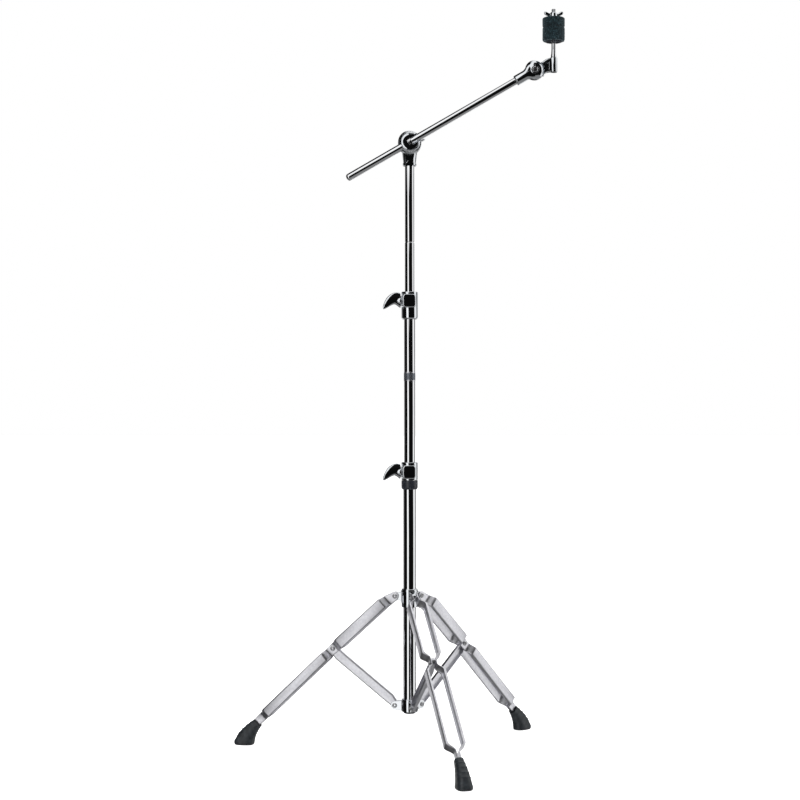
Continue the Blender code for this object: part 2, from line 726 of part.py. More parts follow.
def build_rod_clamp(tilt):
    """The front half of the tilter, a drum that turns with the rod. Its frame lies on the rod's axis.

    The rod runs through a bore on one side of the drum and lies in an open channel on the other.
    """
    back, front = BOOM_PLANE - CLAMP_BACK, BOOM_PLANE - CLAMP_FRONT
    shape = [
        (0, front),
        (DISC_R - 5.6 * MM, front),
        (DISC_R - 2.0 * MM, front - 1.6 * MM),
        (DISC_R - 0.2 * MM, front - 5.2 * MM),
        (DISC_R - 0.2 * MM, back),
        (0, back),
    ]
    piece = place(turned("boom_clamp", "chrome", shape), tilt, rotation=ALONG_FRONT)
    cut(piece, rod("rod_bore", "chrome", BOOM_R + 0.25 * MM, -0.04, 0.04, ROUND), rotation=ALONG_X)
    channel = block("rod_channel", "chrome", (2 * MM, -8.2 * MM, 0), (30 * MM, 8.2 * MM, 20 * MM))
    cut(piece, channel)
    cut(piece, rod("eye_pocket", "chrome", 10.05 * MM, -4.4 * MM, 4.4 * MM, 24), rotation=ALONG_X)
    cut(piece, block("eye_slot", "chrome", (-4.4 * MM, -10.0 * MM, -0.02), (4.4 * MM, 10.0 * MM, 0)))
    return piece


def build_boom(tilt):
    """The boom rod with its end cap, and the fixed half of the small tilter on its tip."""
    slide = empty("boom_slide", tilt)
    bore = BOOM_R - 1.2 * MM
    place(tube("boom_rod", "chrome", BOOM_R, bore, BOOM_TAIL, BOOM_TIP), slide, rotation=ALONG_X)
    dome = [(BOOM_R * math.sin(a), -BOOM_R * 0.8 * math.cos(a)) for a in (math.radians(d) for d in (90, 65, 40, 18))]
    cap = [(0, 9 * MM), (bore - GAP, 9 * MM), (bore - GAP, 0)]
    cap += [(radius, height) for radius, height in dome] + [(0, -BOOM_R * 0.8)]
    place(turned("boom_rod_cap", "chrome", cap, steps=24), slide, (BOOM_TAIL - GAP, 0, 0), ALONG_X)

    ferrule_start, ferrule_end = -43 * MM, -11 * MM
    pivot = empty("tip_pivot", slide, (TIP_PIVOT, 0, 0))
    base = place(rod("tip_base", "chrome", TIP_DISC_R, 0.3 * MM, 9.6 * MM, ROUND), pivot, rotation=ALONG_FRONT)
    ferrule = turned(
        "ferrule",
        "chrome",
        [
            (0, ferrule_end),
            (10.2 * MM, ferrule_end),
            (10.2 * MM, ferrule_start + 1.5 * MM),
            (8.7 * MM, ferrule_start),
            (0, ferrule_start),
        ],
        steps=24,
    )
    join(base, ferrule, rotation=(0, math.radians(90), 0))
    web = [(-20, -10.0), (-6, -17.4), (-3, -12), (-3, 12), (-6, 17.4), (-20, 10.0)]
    blend = plate("web", "chrome", [(x * MM, z * MM) for x, z in web], 8.6 * MM, rounded=False)
    join(base, blend, (0, 0, 5.2 * MM), rotation=(math.radians(-90), 0, 0))
    cut(base, rod("arm_room", "chrome", TIP_DISC_R + 0.6 * MM, -0.014, 0, ROUND))
    cut(base, rod("rod_socket", "chrome", BOOM_R + 0.15 * MM, -0.05, BOOM_TIP - TIP_PIVOT + GAP), rotation=ALONG_X)
    cut(base, rod("screw_hole", "chrome", 3.6 * MM, -0.02, 0.02, SMALL_ROUND))
    screw = [
        (0, 13.0 * MM),
        (4.4 * MM, 12.8 * MM),
        (5.6 * MM, 11.6 * MM),
        (5.6 * MM, 9.6 * MM + GAP),
        (3.4 * MM, 9.6 * MM + GAP),
        (3.4 * MM, -21 * MM),
        (0, -21 * MM),
    ]
    bolt = place(turned("tip_screw", "steel", screw, steps=20), pivot, rotation=ALONG_FRONT)
    slot = block("screw_slot", "steel", (-7 * MM, -0.7 * MM, 11.4 * MM), (7 * MM, 0.7 * MM, 14 * MM))
    cut(bolt, slot, rotation=(0, 0, math.radians(20)))
    return pivot


def build_tip(pivot):
    """The small tilter's moving half, with the cymbal post and what is stacked on it. Its frame hangs plumb."""
    turn = empty("tip_tilt", pivot, rotation=(0, BOOM_SLOPE, 0))
    arm = place(rod("tip_arm", "chrome", TIP_DISC_R, -9.6 * MM, 0, ROUND), turn, rotation=ALONG_FRONT)
    web = [(0, 13), (9, 17), (21, 21.4), (29, 23.6), (37, 24), (37, -4.2), (28, -4.4), (17, -8.9), (0, -14)]
    link = plate("arm_web", "chrome", [(x * MM, z * MM) for x, z in web], 12.4 * MM, rounded=False)
    join(arm, link, rotation=(math.radians(-90), 0, 0))
    socket = turned(
        "post_socket",
        "chrome",
        [
            (0, SOCKET_Z[1]),
            (5.6 * MM, SOCKET_Z[1]),
            (6.7 * MM, SOCKET_Z[1] - 1.6 * MM),
            (6.7 * MM, SOCKET_Z[0] + MM),
            (5.7 * MM, SOCKET_Z[0]),
            (0, SOCKET_Z[0]),
        ],
        steps=24,
    )
    join(arm, socket, (POST_REACH, 0, 0), (math.radians(-90), 0, 0))
    cut(arm, rod("base_room", "chrome", TIP_DISC_R + 0.6 * MM, 0, 0.014, ROUND))
    recess = block("arm_recess", "chrome", (20.2 * MM, -2.5 * MM, 0.6 * MM), (28.2 * MM, 15.0 * MM, 9 * MM), 1.0 * MM)
    cut(arm, recess)
    cut(arm, rod("screw_hole", "chrome", 3.6 * MM, -0.02, 0.02, SMALL_ROUND))
    post_hole = rod("post_hole", "chrome", POST_R + 0.15 * MM, 2 * MM, 30 * MM, 24)
    cut(arm, post_hole, (POST_REACH, 0, 0), (math.radians(-90), 0, 0))

    nut_turn = empty("tip_nut_axis", turn, (0, 9.6 * MM + GAP, 0), (math.radians(-90), math.radians(22), 0))
    wings = (
        wing_outline(4.5 * MM, 21.5 * MM, 1.2 * MM, 12 * MM),
        wing_outline(4.5 * MM, 17.0 * MM, 1.2 * MM, 10 * MM, -1),
    )
    place(wing_nut("tip_wing_nut", 6.6 * MM, 9 * MM, 3.7 * MM, wings, 3.8 * MM), nut_turn)
    build_post(empty("cymbal_post_axis", turn, (POST_REACH, 0, 0)))


def build_post(axis):
    """The cymbal post: a threaded rod, a sleeve with a flange that carries two felts, and the wing nut on top."""
    shoulder = FELT_BASE - 2.4 * MM
    post = [
        (0, POST_TOP),
        (THREAD_R - 0.8 * MM, POST_TOP),
        (THREAD_R, POST_TOP - 0.8 * MM),
        (THREAD_R, shoulder),
        (POST_R, shoulder),
        (POST_R, SOCKET_Z[1] + 6.0 * MM),
        (5.3 * MM, SOCKET_Z[1] + 1.0 * MM),
        (5.3 * MM, SOCKET_Z[1] + GAP),
        (POST_R, SOCKET_Z[1] + GAP),
        (POST_R, 2.3 * MM),
        (0, 2.3 * MM),
    ]
    place(turned("cymbal_post", "chrome", post, steps=24), axis)
    felt_top = FELT_BASE + 46.4 * MM
    sleeve = [
        (6.0 * MM, felt_top - 2.0 * MM),
        (6.0 * MM, FELT_BASE - GAP),
        (15.5 * MM, FELT_BASE - GAP),
        (15.5 * MM, shoulder + GAP),
        (THREAD_R + GAP, shoulder + GAP),
        (THREAD_R + GAP, felt_top - 2.0 * MM),
    ]
    place(turned("post_sleeve", "black_plastic", sleeve, ring=True, steps=24), axis)
    split = FELT_BASE + 27.6 * MM
    for name, low, high in (("lower_felt", FELT_BASE, split - GAP), ("upper_felt", split, felt_top)):
        round_off = 3.4 * MM if name == "upper_felt" else 0.8 * MM
        felt = [
            (FELT_R - round_off, high),
            (FELT_R, high - round_off),
            (FELT_R, low + 0.8 * MM),
            (FELT_R - 0.8 * MM, low),
            (6.0 * MM + GAP, low),
            (6.0 * MM + GAP, high),
        ]
        place(turned(name, "black_felt", felt, ring=True), axis)
    nut_turn = empty("cymbal_nut_axis", axis, (0, 0, felt_top + GAP))
    wings = [wing_outline(5.0 * MM, 18.6 * MM, 0.6 * MM, 11.5 * MM, flip) for flip in (1, -1)]
    place(wing_nut("cymbal_wing_nut", 7.6 * MM, 9.5 * MM, 4.15 * MM, wings, 4.6 * MM), nut_turn)


def main():
    column = empty("column_axis", location=COLUMN)
    build_base(column)
    top = build_column(column)
    tilt = build_holder(top)
    build_tip(build_boom(tilt))


main()
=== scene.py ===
"""The finished look of a cymbal boom stand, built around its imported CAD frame.

Every visible piece is a fine mesh in the place of a plain CAD solid, and rides on that solid's body. Shapes
are drawn in millimetres in the frame of their joint or axis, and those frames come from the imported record.
"""

import json
from math import atan2, copysign, cos, pi, radians, sin

import bmesh
import bpy
from mathutils import Matrix, Vector, noise


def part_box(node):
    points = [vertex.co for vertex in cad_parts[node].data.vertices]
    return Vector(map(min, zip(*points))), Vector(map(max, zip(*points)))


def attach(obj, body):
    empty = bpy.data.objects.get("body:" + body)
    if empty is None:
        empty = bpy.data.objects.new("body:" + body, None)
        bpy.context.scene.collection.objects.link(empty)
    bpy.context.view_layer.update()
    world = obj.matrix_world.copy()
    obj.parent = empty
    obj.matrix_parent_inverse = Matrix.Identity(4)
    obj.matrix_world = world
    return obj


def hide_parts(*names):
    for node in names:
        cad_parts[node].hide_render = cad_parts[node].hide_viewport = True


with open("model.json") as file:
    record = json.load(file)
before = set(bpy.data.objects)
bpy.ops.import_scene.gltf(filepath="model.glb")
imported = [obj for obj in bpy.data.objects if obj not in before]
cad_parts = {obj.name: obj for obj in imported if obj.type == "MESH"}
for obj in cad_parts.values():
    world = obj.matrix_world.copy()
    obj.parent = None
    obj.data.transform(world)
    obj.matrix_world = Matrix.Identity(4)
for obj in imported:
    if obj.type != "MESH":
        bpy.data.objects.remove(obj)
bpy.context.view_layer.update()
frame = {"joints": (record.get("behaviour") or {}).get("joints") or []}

MM = 0.001
SMOOTH_ANGLE = radians(32)
ROUND = 96
TUBE_WALL = 1.2
BOLT_HOLE_R = 4.2
# between a tube and the casting, and between a tube and the bolt's nose or a bushing
CASTING_GAP = 0.28
SLIDING_GAP = 0.3
LEG_SLOPE = radians(43.4)
BOOM_RISE = radians(30)
JOINTS = {joint["name"]: joint for joint in frame["joints"]}


# ---- frames


def axes(origin, x, z):
    """A frame at this point with X along x and Z as near to z as it can be."""
    x = Vector(x).normalized()
    z = (Vector(z) - x * x.dot(Vector(z))).normalized()
    turn = Matrix((x, z.cross(x), z)).transposed()
    return Matrix.Translation(origin) @ turn.to_4x4()


def joint_point(name):
    return Vector(JOINTS[name]["pos_m"])


def joint_axis(name):
    return Vector(JOINTS[name]["axis"]).normalized()


def box_mm(node):
    low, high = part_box(node)
    return low / MM, high / MM


def extent(node):
    """An upright round node's foot, top and outer radius, in millimetres."""
    low, high = box_mm(node)
    return low.z, high.z, (high.x - low.x) / 2


def radius_mm(node):
    return extent(node)[2]


UP = Vector((0, 0, 1))
tube_low, tube_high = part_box("base_tube")
COLUMN_AT = Vector(((tube_low.x + tube_high.x) / 2, (tube_low.y + tube_high.y) / 2, 0))
COLUMN = Matrix.Translation(COLUMN_AT)
BOOM_PIVOT = joint_point("boom_tilt")
BOOM = axes(BOOM_PIVOT, joint_axis("boom_reach"), UP)
TIP_IN_BOOM = axes(joint_point("tip_tilt"), joint_axis("boom_reach"), UP)
TIP = Matrix.Translation(joint_point("tip_tilt"))
POST_AT = joint_point("cymbal_wing_nut_turn")
POST = Matrix.Translation((POST_AT.x, POST_AT.y, joint_point("tip_tilt").z))


def bolt_frame(joint):
    """A clamping bolt's frame: on the column's axis, X out along the bolt, Z up."""
    return axes(joint_point(joint), joint_axis(joint), UP)


class Leg:
    """The frames of one leg: its upright middle plane, its strips' line, and its stay's line."""

    def __init__(self, number):
        self.number = number
        mid, low = joint_point(f"leg_{number}_fold"), joint_point(f"stay_{number}_fold")
        out = mid - COLUMN_AT
        out.z = 0
        self.plane = axes(COLUMN_AT, out, UP)
        self.mid = Vector((out.length, 0, mid.z)) / MM
        self.low = Vector(((low - COLUMN_AT).to_2d().length, 0, low.z)) / MM
        self.top = Vector((self.low.x, 0, 2 * self.mid.z - self.low.z))
        self.line = self.plane @ Matrix.Translation(self.mid * MM) @ Matrix.Rotation(LEG_SLOPE, 4, "Y")
        rise = atan2(self.mid.z - self.low.z, self.mid.x - self.low.x)
        self.stay = self.plane @ Matrix.Translation(self.low * MM) @ Matrix.Rotation(-rise, 4, "Y")
        self.stay_length = (self.mid - self.low).length

    def across(self, point):
        """A frame at this point whose Z runs through both strips."""
        return self.plane @ Matrix.Translation(point * MM) @ Z_TO_FRONT


Z_TO_X = Matrix.Rotation(radians(90), 4, "Y")
Z_TO_FRONT = Matrix.Rotation(radians(90), 4, "X")
Z_TO_BACK = Matrix.Rotation(radians(-90), 4, "X")
# how far each tilter's wing nut has been turned
BOOM_NUT_TURN = Matrix.Rotation(radians(6), 4, "Y")
TIP_NUT_TURN = Matrix.Rotation(radians(22), 4, "Y")


def along_y(distance):
    return Matrix.Translation((0, distance * MM, 0))


# ---- shapes, in millimetres


def around(count):
    return [2 * pi * k / count for k in range(count)]


def squarish(value, power):
    """A sine or cosine bent towards a squarer outline the smaller the power is."""
    return copysign(abs(value) ** power, value)


def smooth(points, steps):
    """More points along a smooth curve through these, which may have any number of dimensions."""
    points = [Vector(point) for point in points]
    last = len(points) - 1
    out = []
    for i in range(last):
        a, b, c, d = (points[min(max(i + k, 0), last)] for k in (-1, 0, 1, 2))
        for k in range(steps):
            t = k / steps
            bend = (2 * a - 5 * b + 4 * c - d) * t * t + (3 * b - 3 * c + d - a) * t**3
            out.append(0.5 * (2 * b + (c - a) * t + bend))
    return [*out, points[last]]


def rounded(points, radius, closed=False, steps=3):
    """A profile or outline with its corners turned into short arcs."""
    points = [Vector(point) for point in points]
    out = []
    for i, here in enumerate(points):
        if not closed and i in (0, len(points) - 1):
            out.append(here)
            continue
        before, after = points[i - 1], points[(i + 1) % len(points)]
        reach = min(radius, 0.45 * (before - here).length, 0.45 * (after - here).length)
        start = here + (before - here).normalized() * reach
        end = here + (after - here).normalized() * reach
        for k in range(steps + 1):
            t = k / steps
            out.append(start * (1 - t) ** 2 + here * (2 * t * (1 - t)) + end * t * t)
    return out


def loft(rings):
    """A closed skin through rings of points, each with the same number of points."""
    bm = bmesh.new()
    rows = [[bm.verts.new(point) for point in ring] for ring in rings]
    for here, there in zip(rows, rows[1:]):
        for i in range(len(here)):
            j = (i + 1) % len(here)
            bm.faces.new((here[i], here[j], there[j], there[i]))
    bm.faces.new(rows[0])
    bm.faces.new(rows[-1])
    bmesh.ops.recalc_face_normals(bm, faces=bm.faces)
    return bm


def turned(profile, edge, ring=False, steps=ROUND, shape=None):
    """A shape turned about Z from (radius, height) points. shape may move a point, given it and its angle."""
    profile = rounded(profile, edge, closed=ring) if edge else [Vector(point) for point in profile]
    bm = bmesh.new()
    rows = []
    for radius, height in profile:
        if radius < 1e-6:
            rows.append([bm.verts.new((0, 0, height))] * steps)
            continue
        row = []
        for angle in around(steps):
            r, z = shape(radius, height, angle) if shape else (radius, height)
            row.append(bm.verts.new((r * cos(angle), r * sin(angle), z)))
        rows.append(row)
    pairs = list(zip(rows, rows[1:]))
    if ring:
        pairs.append((rows[-1], rows[0]))
    for here, there in pairs:
        for i in range(steps):
            j = (i + 1) % steps
            corners = [here[i], here[j], there[j], there[i]]
            face = [v for k, v in enumerate(corners) if v not in corners[:k]]
            if len(face) > 2:
                bm.faces.new(face)
    bmesh.ops.recalc_face_normals(bm, faces=bm.faces)
    return bm


def pillow(outline, thickness, edge, steps=4):
    """A plate in the XZ plane, centred on Y = 0, whose rims are rounded off by edge."""
    outline = [Vector(point) for point in outline]
    count = len(outline)
    inward = []
    area = sum(outline[i - 1].x * outline[i].y - outline[i].x * outline[i - 1].y for i in range(count))
    for i in range(count):
        along = (outline[(i + 1) % count] - outline[i - 1]).normalized()
        inward.append(Vector((-along.y, along.x)) * (1 if area > 0 else -1))
    rings = []
    for side in (-1, 1):
        angles = [pi / 2 * k / steps for k in range(steps + 1)]
        for angle in angles if side < 0 else reversed(angles):
            depth = side * (thickness / 2 - edge * (1 - cos(angle)))
            inset = edge * (1 - sin(angle))
            rim = [point + normal * inset for point, normal in zip(outline, inward)]
            rings.append([Vector((point.x, depth, point.y)) for point in rim])
    return loft(rings)


def block(low, high):
    bm = bmesh.new()
    low, high = Vector(low), Vector(high)
    shape = Matrix.Translation((low + high) / 2) @ Matrix.Diagonal((*(high - low), 1))
    bmesh.ops.create_cube(bm, size=1, matrix=shape)
    return bm


def hoop(outer, inner, top, foot, edge, steps=ROUND, shape=None):
    """A plain ring about Z."""
    corners = [(outer, top), (outer, foot), (inner, foot), (inner, top)]
    return turned(corners, edge, ring=True, steps=steps, shape=shape)


def rod(radius, low, high, edge=0.0, steps=48):
    return turned([(0, high), (radius, high), (radius, low), (0, low)], edge, steps=steps)


def moved(bm, matrix):
    bmesh.ops.transform(bm, matrix=matrix, verts=bm.verts)
    return bm


def shifted(bm, x=0, y=0):
    return moved(bm, Matrix.Translation((x, y, 0)))


def link(name, data):
    """A new object in the scene for a mesh, light or camera."""
    obj = bpy.data.objects.new(name, data)
    bpy.context.scene.collection.objects.link(obj)
    return obj


def mesh_object(name, bm):
    mesh = bpy.data.meshes.new(name)
    bm.to_mesh(mesh)
    bm.free()
    return link(name, mesh)


def solid(base, add=(), cut=()):
    """One shape: the base with some shapes joined to it and others cut away."""
    holder = mesh_object("scratch", base)
    tools = []
    for operation, shapes in (("UNION", add), ("DIFFERENCE", cut)):
        for shape in shapes:
            tools.append(mesh_object("scratch", shape))
            modifier = holder.modifiers.new(operation, "BOOLEAN")
            modifier.operation = operation
            modifier.object = tools[-1]
    bpy.context.view_layer.update()
    mesh = bpy.data.meshes.new_from_object(holder.evaluated_get(bpy.context.evaluated_depsgraph_get()))
    bm = bmesh.new()
    bm.from_mesh(mesh)
    bpy.data.meshes.remove(mesh)
    for obj in (holder, *tools):
        spent = obj.data
        bpy.data.objects.remove(obj)
        bpy.data.meshes.remove(spent)
    bmesh.ops.remove_doubles(bm, verts=bm.verts, dist=0.0005)
    return bm


def make(name, bm, paint, body, at, node=None):
    """Puts a shape in its place as a piece, which rides on this body and may stand for a CAD node."""
    obj = mesh_object(name, moved(bm, Matrix.Scale(MM, 4)))
    obj.data.shade_smooth()
    obj.data.set_sharp_from_angle(angle=SMOOTH_ANGLE)
    obj.data.materials.append(paint.material)
    obj.matrix_world = at
    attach(obj, body)
    if node:
        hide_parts(node)
    return obj


# ---- materials


class Tree:
    """Node helpers for the materials and for the studio's surroundings."""

    def __init__(self, owner):
        owner.use_nodes = True
        self.nodes = owner.node_tree.nodes
        self.links = owner.node_tree.links

    def plug(self, socket, value):
        """Feeds a socket from another node's, or with a constant."""
        if isinstance(value, bpy.types.NodeSocket):
            self.links.new(value, socket)
        else:
            socket.default_value = value

    def node(self, kind, **inputs):
        made = self.nodes.new(kind)
        for name, value in inputs.items():
            self.plug(made.inputs[name.replace("_", " ")], value)
        return made

    def math(self, operation, *values):
        made = self.nodes.new("ShaderNodeMath")
        made.operation = operation
        for socket, value in zip(made.inputs, values):
            self.plug(socket, value)
        return made.outputs["Value"]

    def ramp(self, source, stops):
        """A colour or a grey by a value from 0 to 1, through ascending stops."""
        made = self.node("ShaderNodeValToRGB", Fac=source)
        elements = made.color_ramp.elements
        for k, (position, colour) in enumerate(stops):
            stop = elements[k] if k < 2 else elements.new(position)
            stop.position = position
            stop.color = (*colour, 1) if isinstance(colour, tuple) else (colour, colour, colour, 1)
        return made.outputs["Color"]


class Paint(Tree):
    """A node material with the record's slot that it belongs to."""

    def __init__(self, name, slot, **values):
        self.slot = slot
        self.material = bpy.data.materials.new(name)
        super().__init__(self.material)
        self.shader = self.nodes["Principled BSDF"]
        for socket, value in values.items():
            self.shader.inputs[socket.replace("_", " ")].default_value = value
        self.place = self.nodes.new("ShaderNodeTexCoord").outputs["Object"]

    def stretched(self, scale):
        return self.node("ShaderNodeMapping", Vector=self.place, Scale=scale).outputs["Vector"]

    def grain(self, scale, detail, roughness=0.55, place=None):
        values = {"Vector": place or self.place, "Scale": scale, "Detail": detail, "Roughness": roughness}
        return self.node("ShaderNodeTexNoise", **values).outputs["Fac"]

    def vary(self, socket, source, *stops):
        """Varies one of the shader's values through stops of (source, value)."""
        self.links.new(self.ramp(source, stops), self.shader.inputs[socket])

    def bumps(self, *layers):
        """Layers of (height, strength, distance), the finest last."""
        normal = None
        for height, strength, distance in layers:
            made = self.node("ShaderNodeBump", Height=height, Strength=strength, Distance=distance)
            if normal:
                self.links.new(normal, made.inputs["Normal"])
            normal = made.outputs["Normal"]
        self.links.new(normal, self.shader.inputs["Normal"])


def chrome_paint():
    """Mirror chrome plate: faint ripple from the polishing, fine hairlines and a few hazy fingermarks."""
    paint = Paint("mirror_chrome", "chrome", Metallic=1.0)
    haze = paint.grain(38, 4)
    paint.vary("Base Color", haze, (0.35, (0.86, 0.87, 0.89)), (0.7, (0.92, 0.925, 0.93)))
    hair = paint.grain(900, 2, place=paint.stretched((1, 1, 0.04)))
    paint.vary("Roughness", paint.math("MULTIPLY", haze, hair), (0.18, 0.03), (0.42, 0.075))
    paint.bumps((paint.grain(40, 1), 0.02, 0.0006), (hair, 0.006, 0.00005))
    return paint


def cast_paint():
    """Chrome over die castings: a shade darker and bluer, with the softer surface that a casting keeps."""
    paint = Paint("cast_chrome", "chrome", Metallic=1.0)
    haze = paint.grain(70, 4)
    paint.vary("Base Color", haze, (0.3, (0.74, 0.77, 0.80)), (0.7, (0.86, 0.88, 0.90)))
    paint.vary("Roughness", paint.grain(260, 4), (0.3, 0.04), (0.75, 0.11))
    paint.bumps((paint.grain(90, 1), 0.03, 0.0006), (paint.grain(700, 3), 0.008, 0.00005))
    return paint


def strip_paint():
    """Plate over pressed strip: a silky grain along the strip, and a mottled haze."""
    paint = Paint("strip_chrome", "satin_chrome", Metallic=1.0)
    streak = paint.grain(420, 4, place=paint.stretched((0.06, 1, 1)))
    mottle = paint.grain(210, 5, 0.7)
    paint.vary("Base Color", mottle, (0.28, (0.74, 0.74, 0.79)), (0.72, (0.97, 0.97, 1.0)))
    paint.vary("Roughness", streak, (0.3, 0.28), (0.7, 0.42))
    paint.bumps((mottle, 0.10, 0.0003), (streak, 0.12, 0.0002))
    return paint


def steel_paint():
    """Bright plated steel of the rivets, screws and threads, turned and slightly worn."""
    paint = Paint("plated_steel", "steel", Metallic=1.0)
    wear = paint.grain(320, 4)
    paint.vary("Base Color", wear, (0.3, (0.50, 0.51, 0.53)), (0.65, (0.80, 0.80, 0.81)))
    paint.vary("Roughness", paint.grain(800, 3), (0.3, 0.16), (0.75, 0.34))
    paint.bumps((wear, 0.10, 0.0003), (paint.grain(1500, 2), 0.06, 0.0001))
    return paint


def plastic_paint():
    """Black moulded plastic with a fine spark-eroded grain and a light sheen."""
    paint = Paint("black_moulding", "black_plastic", Specular_IOR_Level=0.55)
    paint.vary("Base Color", paint.grain(180, 4), (0.3, (0.006, 0.007, 0.010)), (0.75, (0.022, 0.024, 0.032)))
    paint.vary("Roughness", paint.grain(420, 3), (0.3, 0.20), (0.7, 0.36))
    paint.bumps((paint.grain(1600, 2), 0.12, 0.0001), (paint.grain(300, 2), 0.05, 0.0003))
    return paint


def rubber_paint():
    """Black rubber of the feet: dusty in the hollows, a little polished where it is rubbed."""
    paint = Paint("foot_rubber", "black_rubber", Specular_IOR_Level=0.5)
    dust = paint.grain(120, 5, 0.65)
    black = [(0.35, (0.008, 0.010, 0.012)), (0.62, (0.020, 0.024, 0.028))]
    paint.vary("Base Color", dust, *black, (0.8, (0.06, 0.068, 0.075)))
    paint.vary("Roughness", paint.grain(260, 4), (0.3, 0.30), (0.7, 0.52))
    paint.bumps((dust, 0.16, 0.0005), (paint.grain(1800, 3), 0.25, 0.00015))
    return paint


def felt_paint():
    """Pressed wool felt: dark blue-green and black fibres with paler ones matted among them."""
    sheen = {"Sheen_Weight": 0.18, "Sheen_Roughness": 0.5, "Sheen_Tint": (0.55, 0.68, 0.74, 1)}
    paint = Paint("wool_felt", "black_felt", Roughness=0.95, Specular_IOR_Level=0.2, **sheen)
    clumps = paint.grain(260, 6, 0.75)
    fibres = paint.grain(900, 5, 0.8, place=paint.stretched((1, 1, 0.45)))
    matted = paint.math("MULTIPLY_ADD", fibres, 0.45, paint.math("MULTIPLY", clumps, 0.6))
    dark = [(0.44, (0.001, 0.002, 0.003)), (0.54, (0.005, 0.012, 0.015)), (0.61, (0.012, 0.028, 0.034))]
    paint.vary("Base Color", matted, *dark, (0.70, (0.09, 0.13, 0.15)))
    paint.bumps((clumps, 0.7, 0.0008), (fibres, 0.8, 0.0004))
    return paint


def label_paint():
    """A plain dark foil label with a dull silver shimmer."""
    paint = Paint("foil_label", "satin_chrome", Metallic=0.85)
    flecks = paint.grain(900, 4)
    paint.vary("Base Color", flecks, (0.35, (0.10, 0.11, 0.13)), (0.7, (0.26, 0.28, 0.31)))
    paint.vary("Roughness", paint.grain(240, 3), (0.3, 0.28), (0.7, 0.42))
    paint.bumps((flecks, 0.05, 0.0001))
    return paint


CHROME = chrome_paint()
CAST = cast_paint()
STRIP = strip_paint()
STEEL = steel_paint()
PLASTIC = plastic_paint()
RUBBER = rubber_paint()
FELT = felt_paint()
LABEL = label_paint()


# ---- column


def tube(name, node, body, groove=None):
    """A fine tube in the place of a CAD tube, with eased rims and, on the upper one, the rolled seam."""
    foot, top, outer = extent(node)
    side = [(outer, top), (outer, foot)]
    if groove:
        thin, dip = outer - 0.2, outer - 0.75
        side = [(thin, top), (thin, groove + 1.3), (dip, groove + 0.5), (dip, groove - 0.5)]
        side += [(outer, groove - 1.3), (outer, foot)]
    profile = side + [(outer - TUBE_WALL, foot), (outer - TUBE_WALL, top)]
    make(name, turned(profile, 0.4, ring=True, steps=128), CHROME, body, COLUMN, node)


def build_column():
    tube("base_tube_skin", "base_tube", "base")
    tube("middle_tube_skin", "middle_tube", "middle_stage")
    tube("upper_tube_skin", "upper_tube", "upper_stage", groove=extent("upper_tube")[1] - 170)
    foot, top, lip = extent("base_tube_plug")
    plug = [(0, top), (lip - 1.6, top), (lip - 0.9, top - 3), (lip - 0.9, foot + 3.3)]
    plug += [(lip, foot + 3.0), (lip - 0.6, foot + 0.6), (lip - 3.5, foot), (4.5, foot)]
    plug += [(3.5, foot + 1.2), (0, foot + 1.2)]
    make("base_plug_moulding", turned(plug, 0.4), PLASTIC, "base", COLUMN, "base_tube_plug")
    build_label()


def build_label():
    """A blank band round the middle tube, with a plain dark field between two silver borders."""
    _, top, tube_r = extent("middle_tube")
    middle = top - 155
    for name, proud, half, sunk, edge, paint in (
        ("label_band", 0.16, 9, 0.1, 0.05, STRIP),
        ("label_field", 0.24, 6.6, 0, 0.04, LABEL),
    ):
        band = hoop(tube_r + proud, tube_r - sunk, middle + half, middle - half, edge, steps=128)
        make(name, band, paint, "middle_stage", COLUMN)


# ---- clamps

BOSS_FACE = 17.9
# a thumb fin's upper and lower edge, out along the bolt and up, and its half thickness
FIN_TOP = [(1.0, 15.6), (8.0, 17.2), (16.0, 15.2), (23.5, 10.4), (29.0, 4.2), (33.4, -4.6), (35.8, -12.6)]
FIN_FOOT = [(1, -14.0), (6, -10.6), (12, -6.9), (18.5, -8.8), (24.5, -12.2), (30.4, -15.4), (34.6, -16.6)]
FIN_HALF = [5.4, 5.0, 4.4, 3.9, 3.3, 2.7, 1.3]


def leaf(stations):
    """A thick soft-edged leaf in the XZ plane, through (top x, top z, foot x, foot z, half thickness)."""
    rings = []
    for top_x, top_z, foot_x, foot_z, half in smooth(stations, 5):
        top, foot = Vector((top_x, 0, top_z)), Vector((foot_x, 0, foot_z))
        middle, reach = (top + foot) / 2, (top - foot) / 2
        ring = [middle + reach * cos(a) + Vector((0, squarish(sin(a), 0.8) * half, 0)) for a in around(28)]
        rings.append(ring)
    return loft(rings)


def fin(boss_face):
    """A bolt's drooping thumb fin."""
    stations = [(*top, *foot, half) for top, foot, half in zip(FIN_TOP, FIN_FOOT, FIN_HALF)]
    return shifted(leaf(stations), x=boss_face)


def thumb_bolt(name, node, boss_face, tip):
    """A clamping bolt with its hub and fin, drawn in the bolt's frame."""
    hub = [(0, boss_face + 9.5), (3.8, boss_face + 9), (6.2, boss_face + 6), (7.4, boss_face + 3)]
    hub += [(7.8, boss_face + 0.4), (3.9, boss_face + 0.4), (3.9, tip + 0.8), (3.2, tip), (0, tip)]
    shape = solid(moved(turned(hub, 0.8, steps=64), Z_TO_X), add=[fin(boss_face)])
    make(name, shape, CAST, node, bolt_frame(f"{node}_turn"), node)


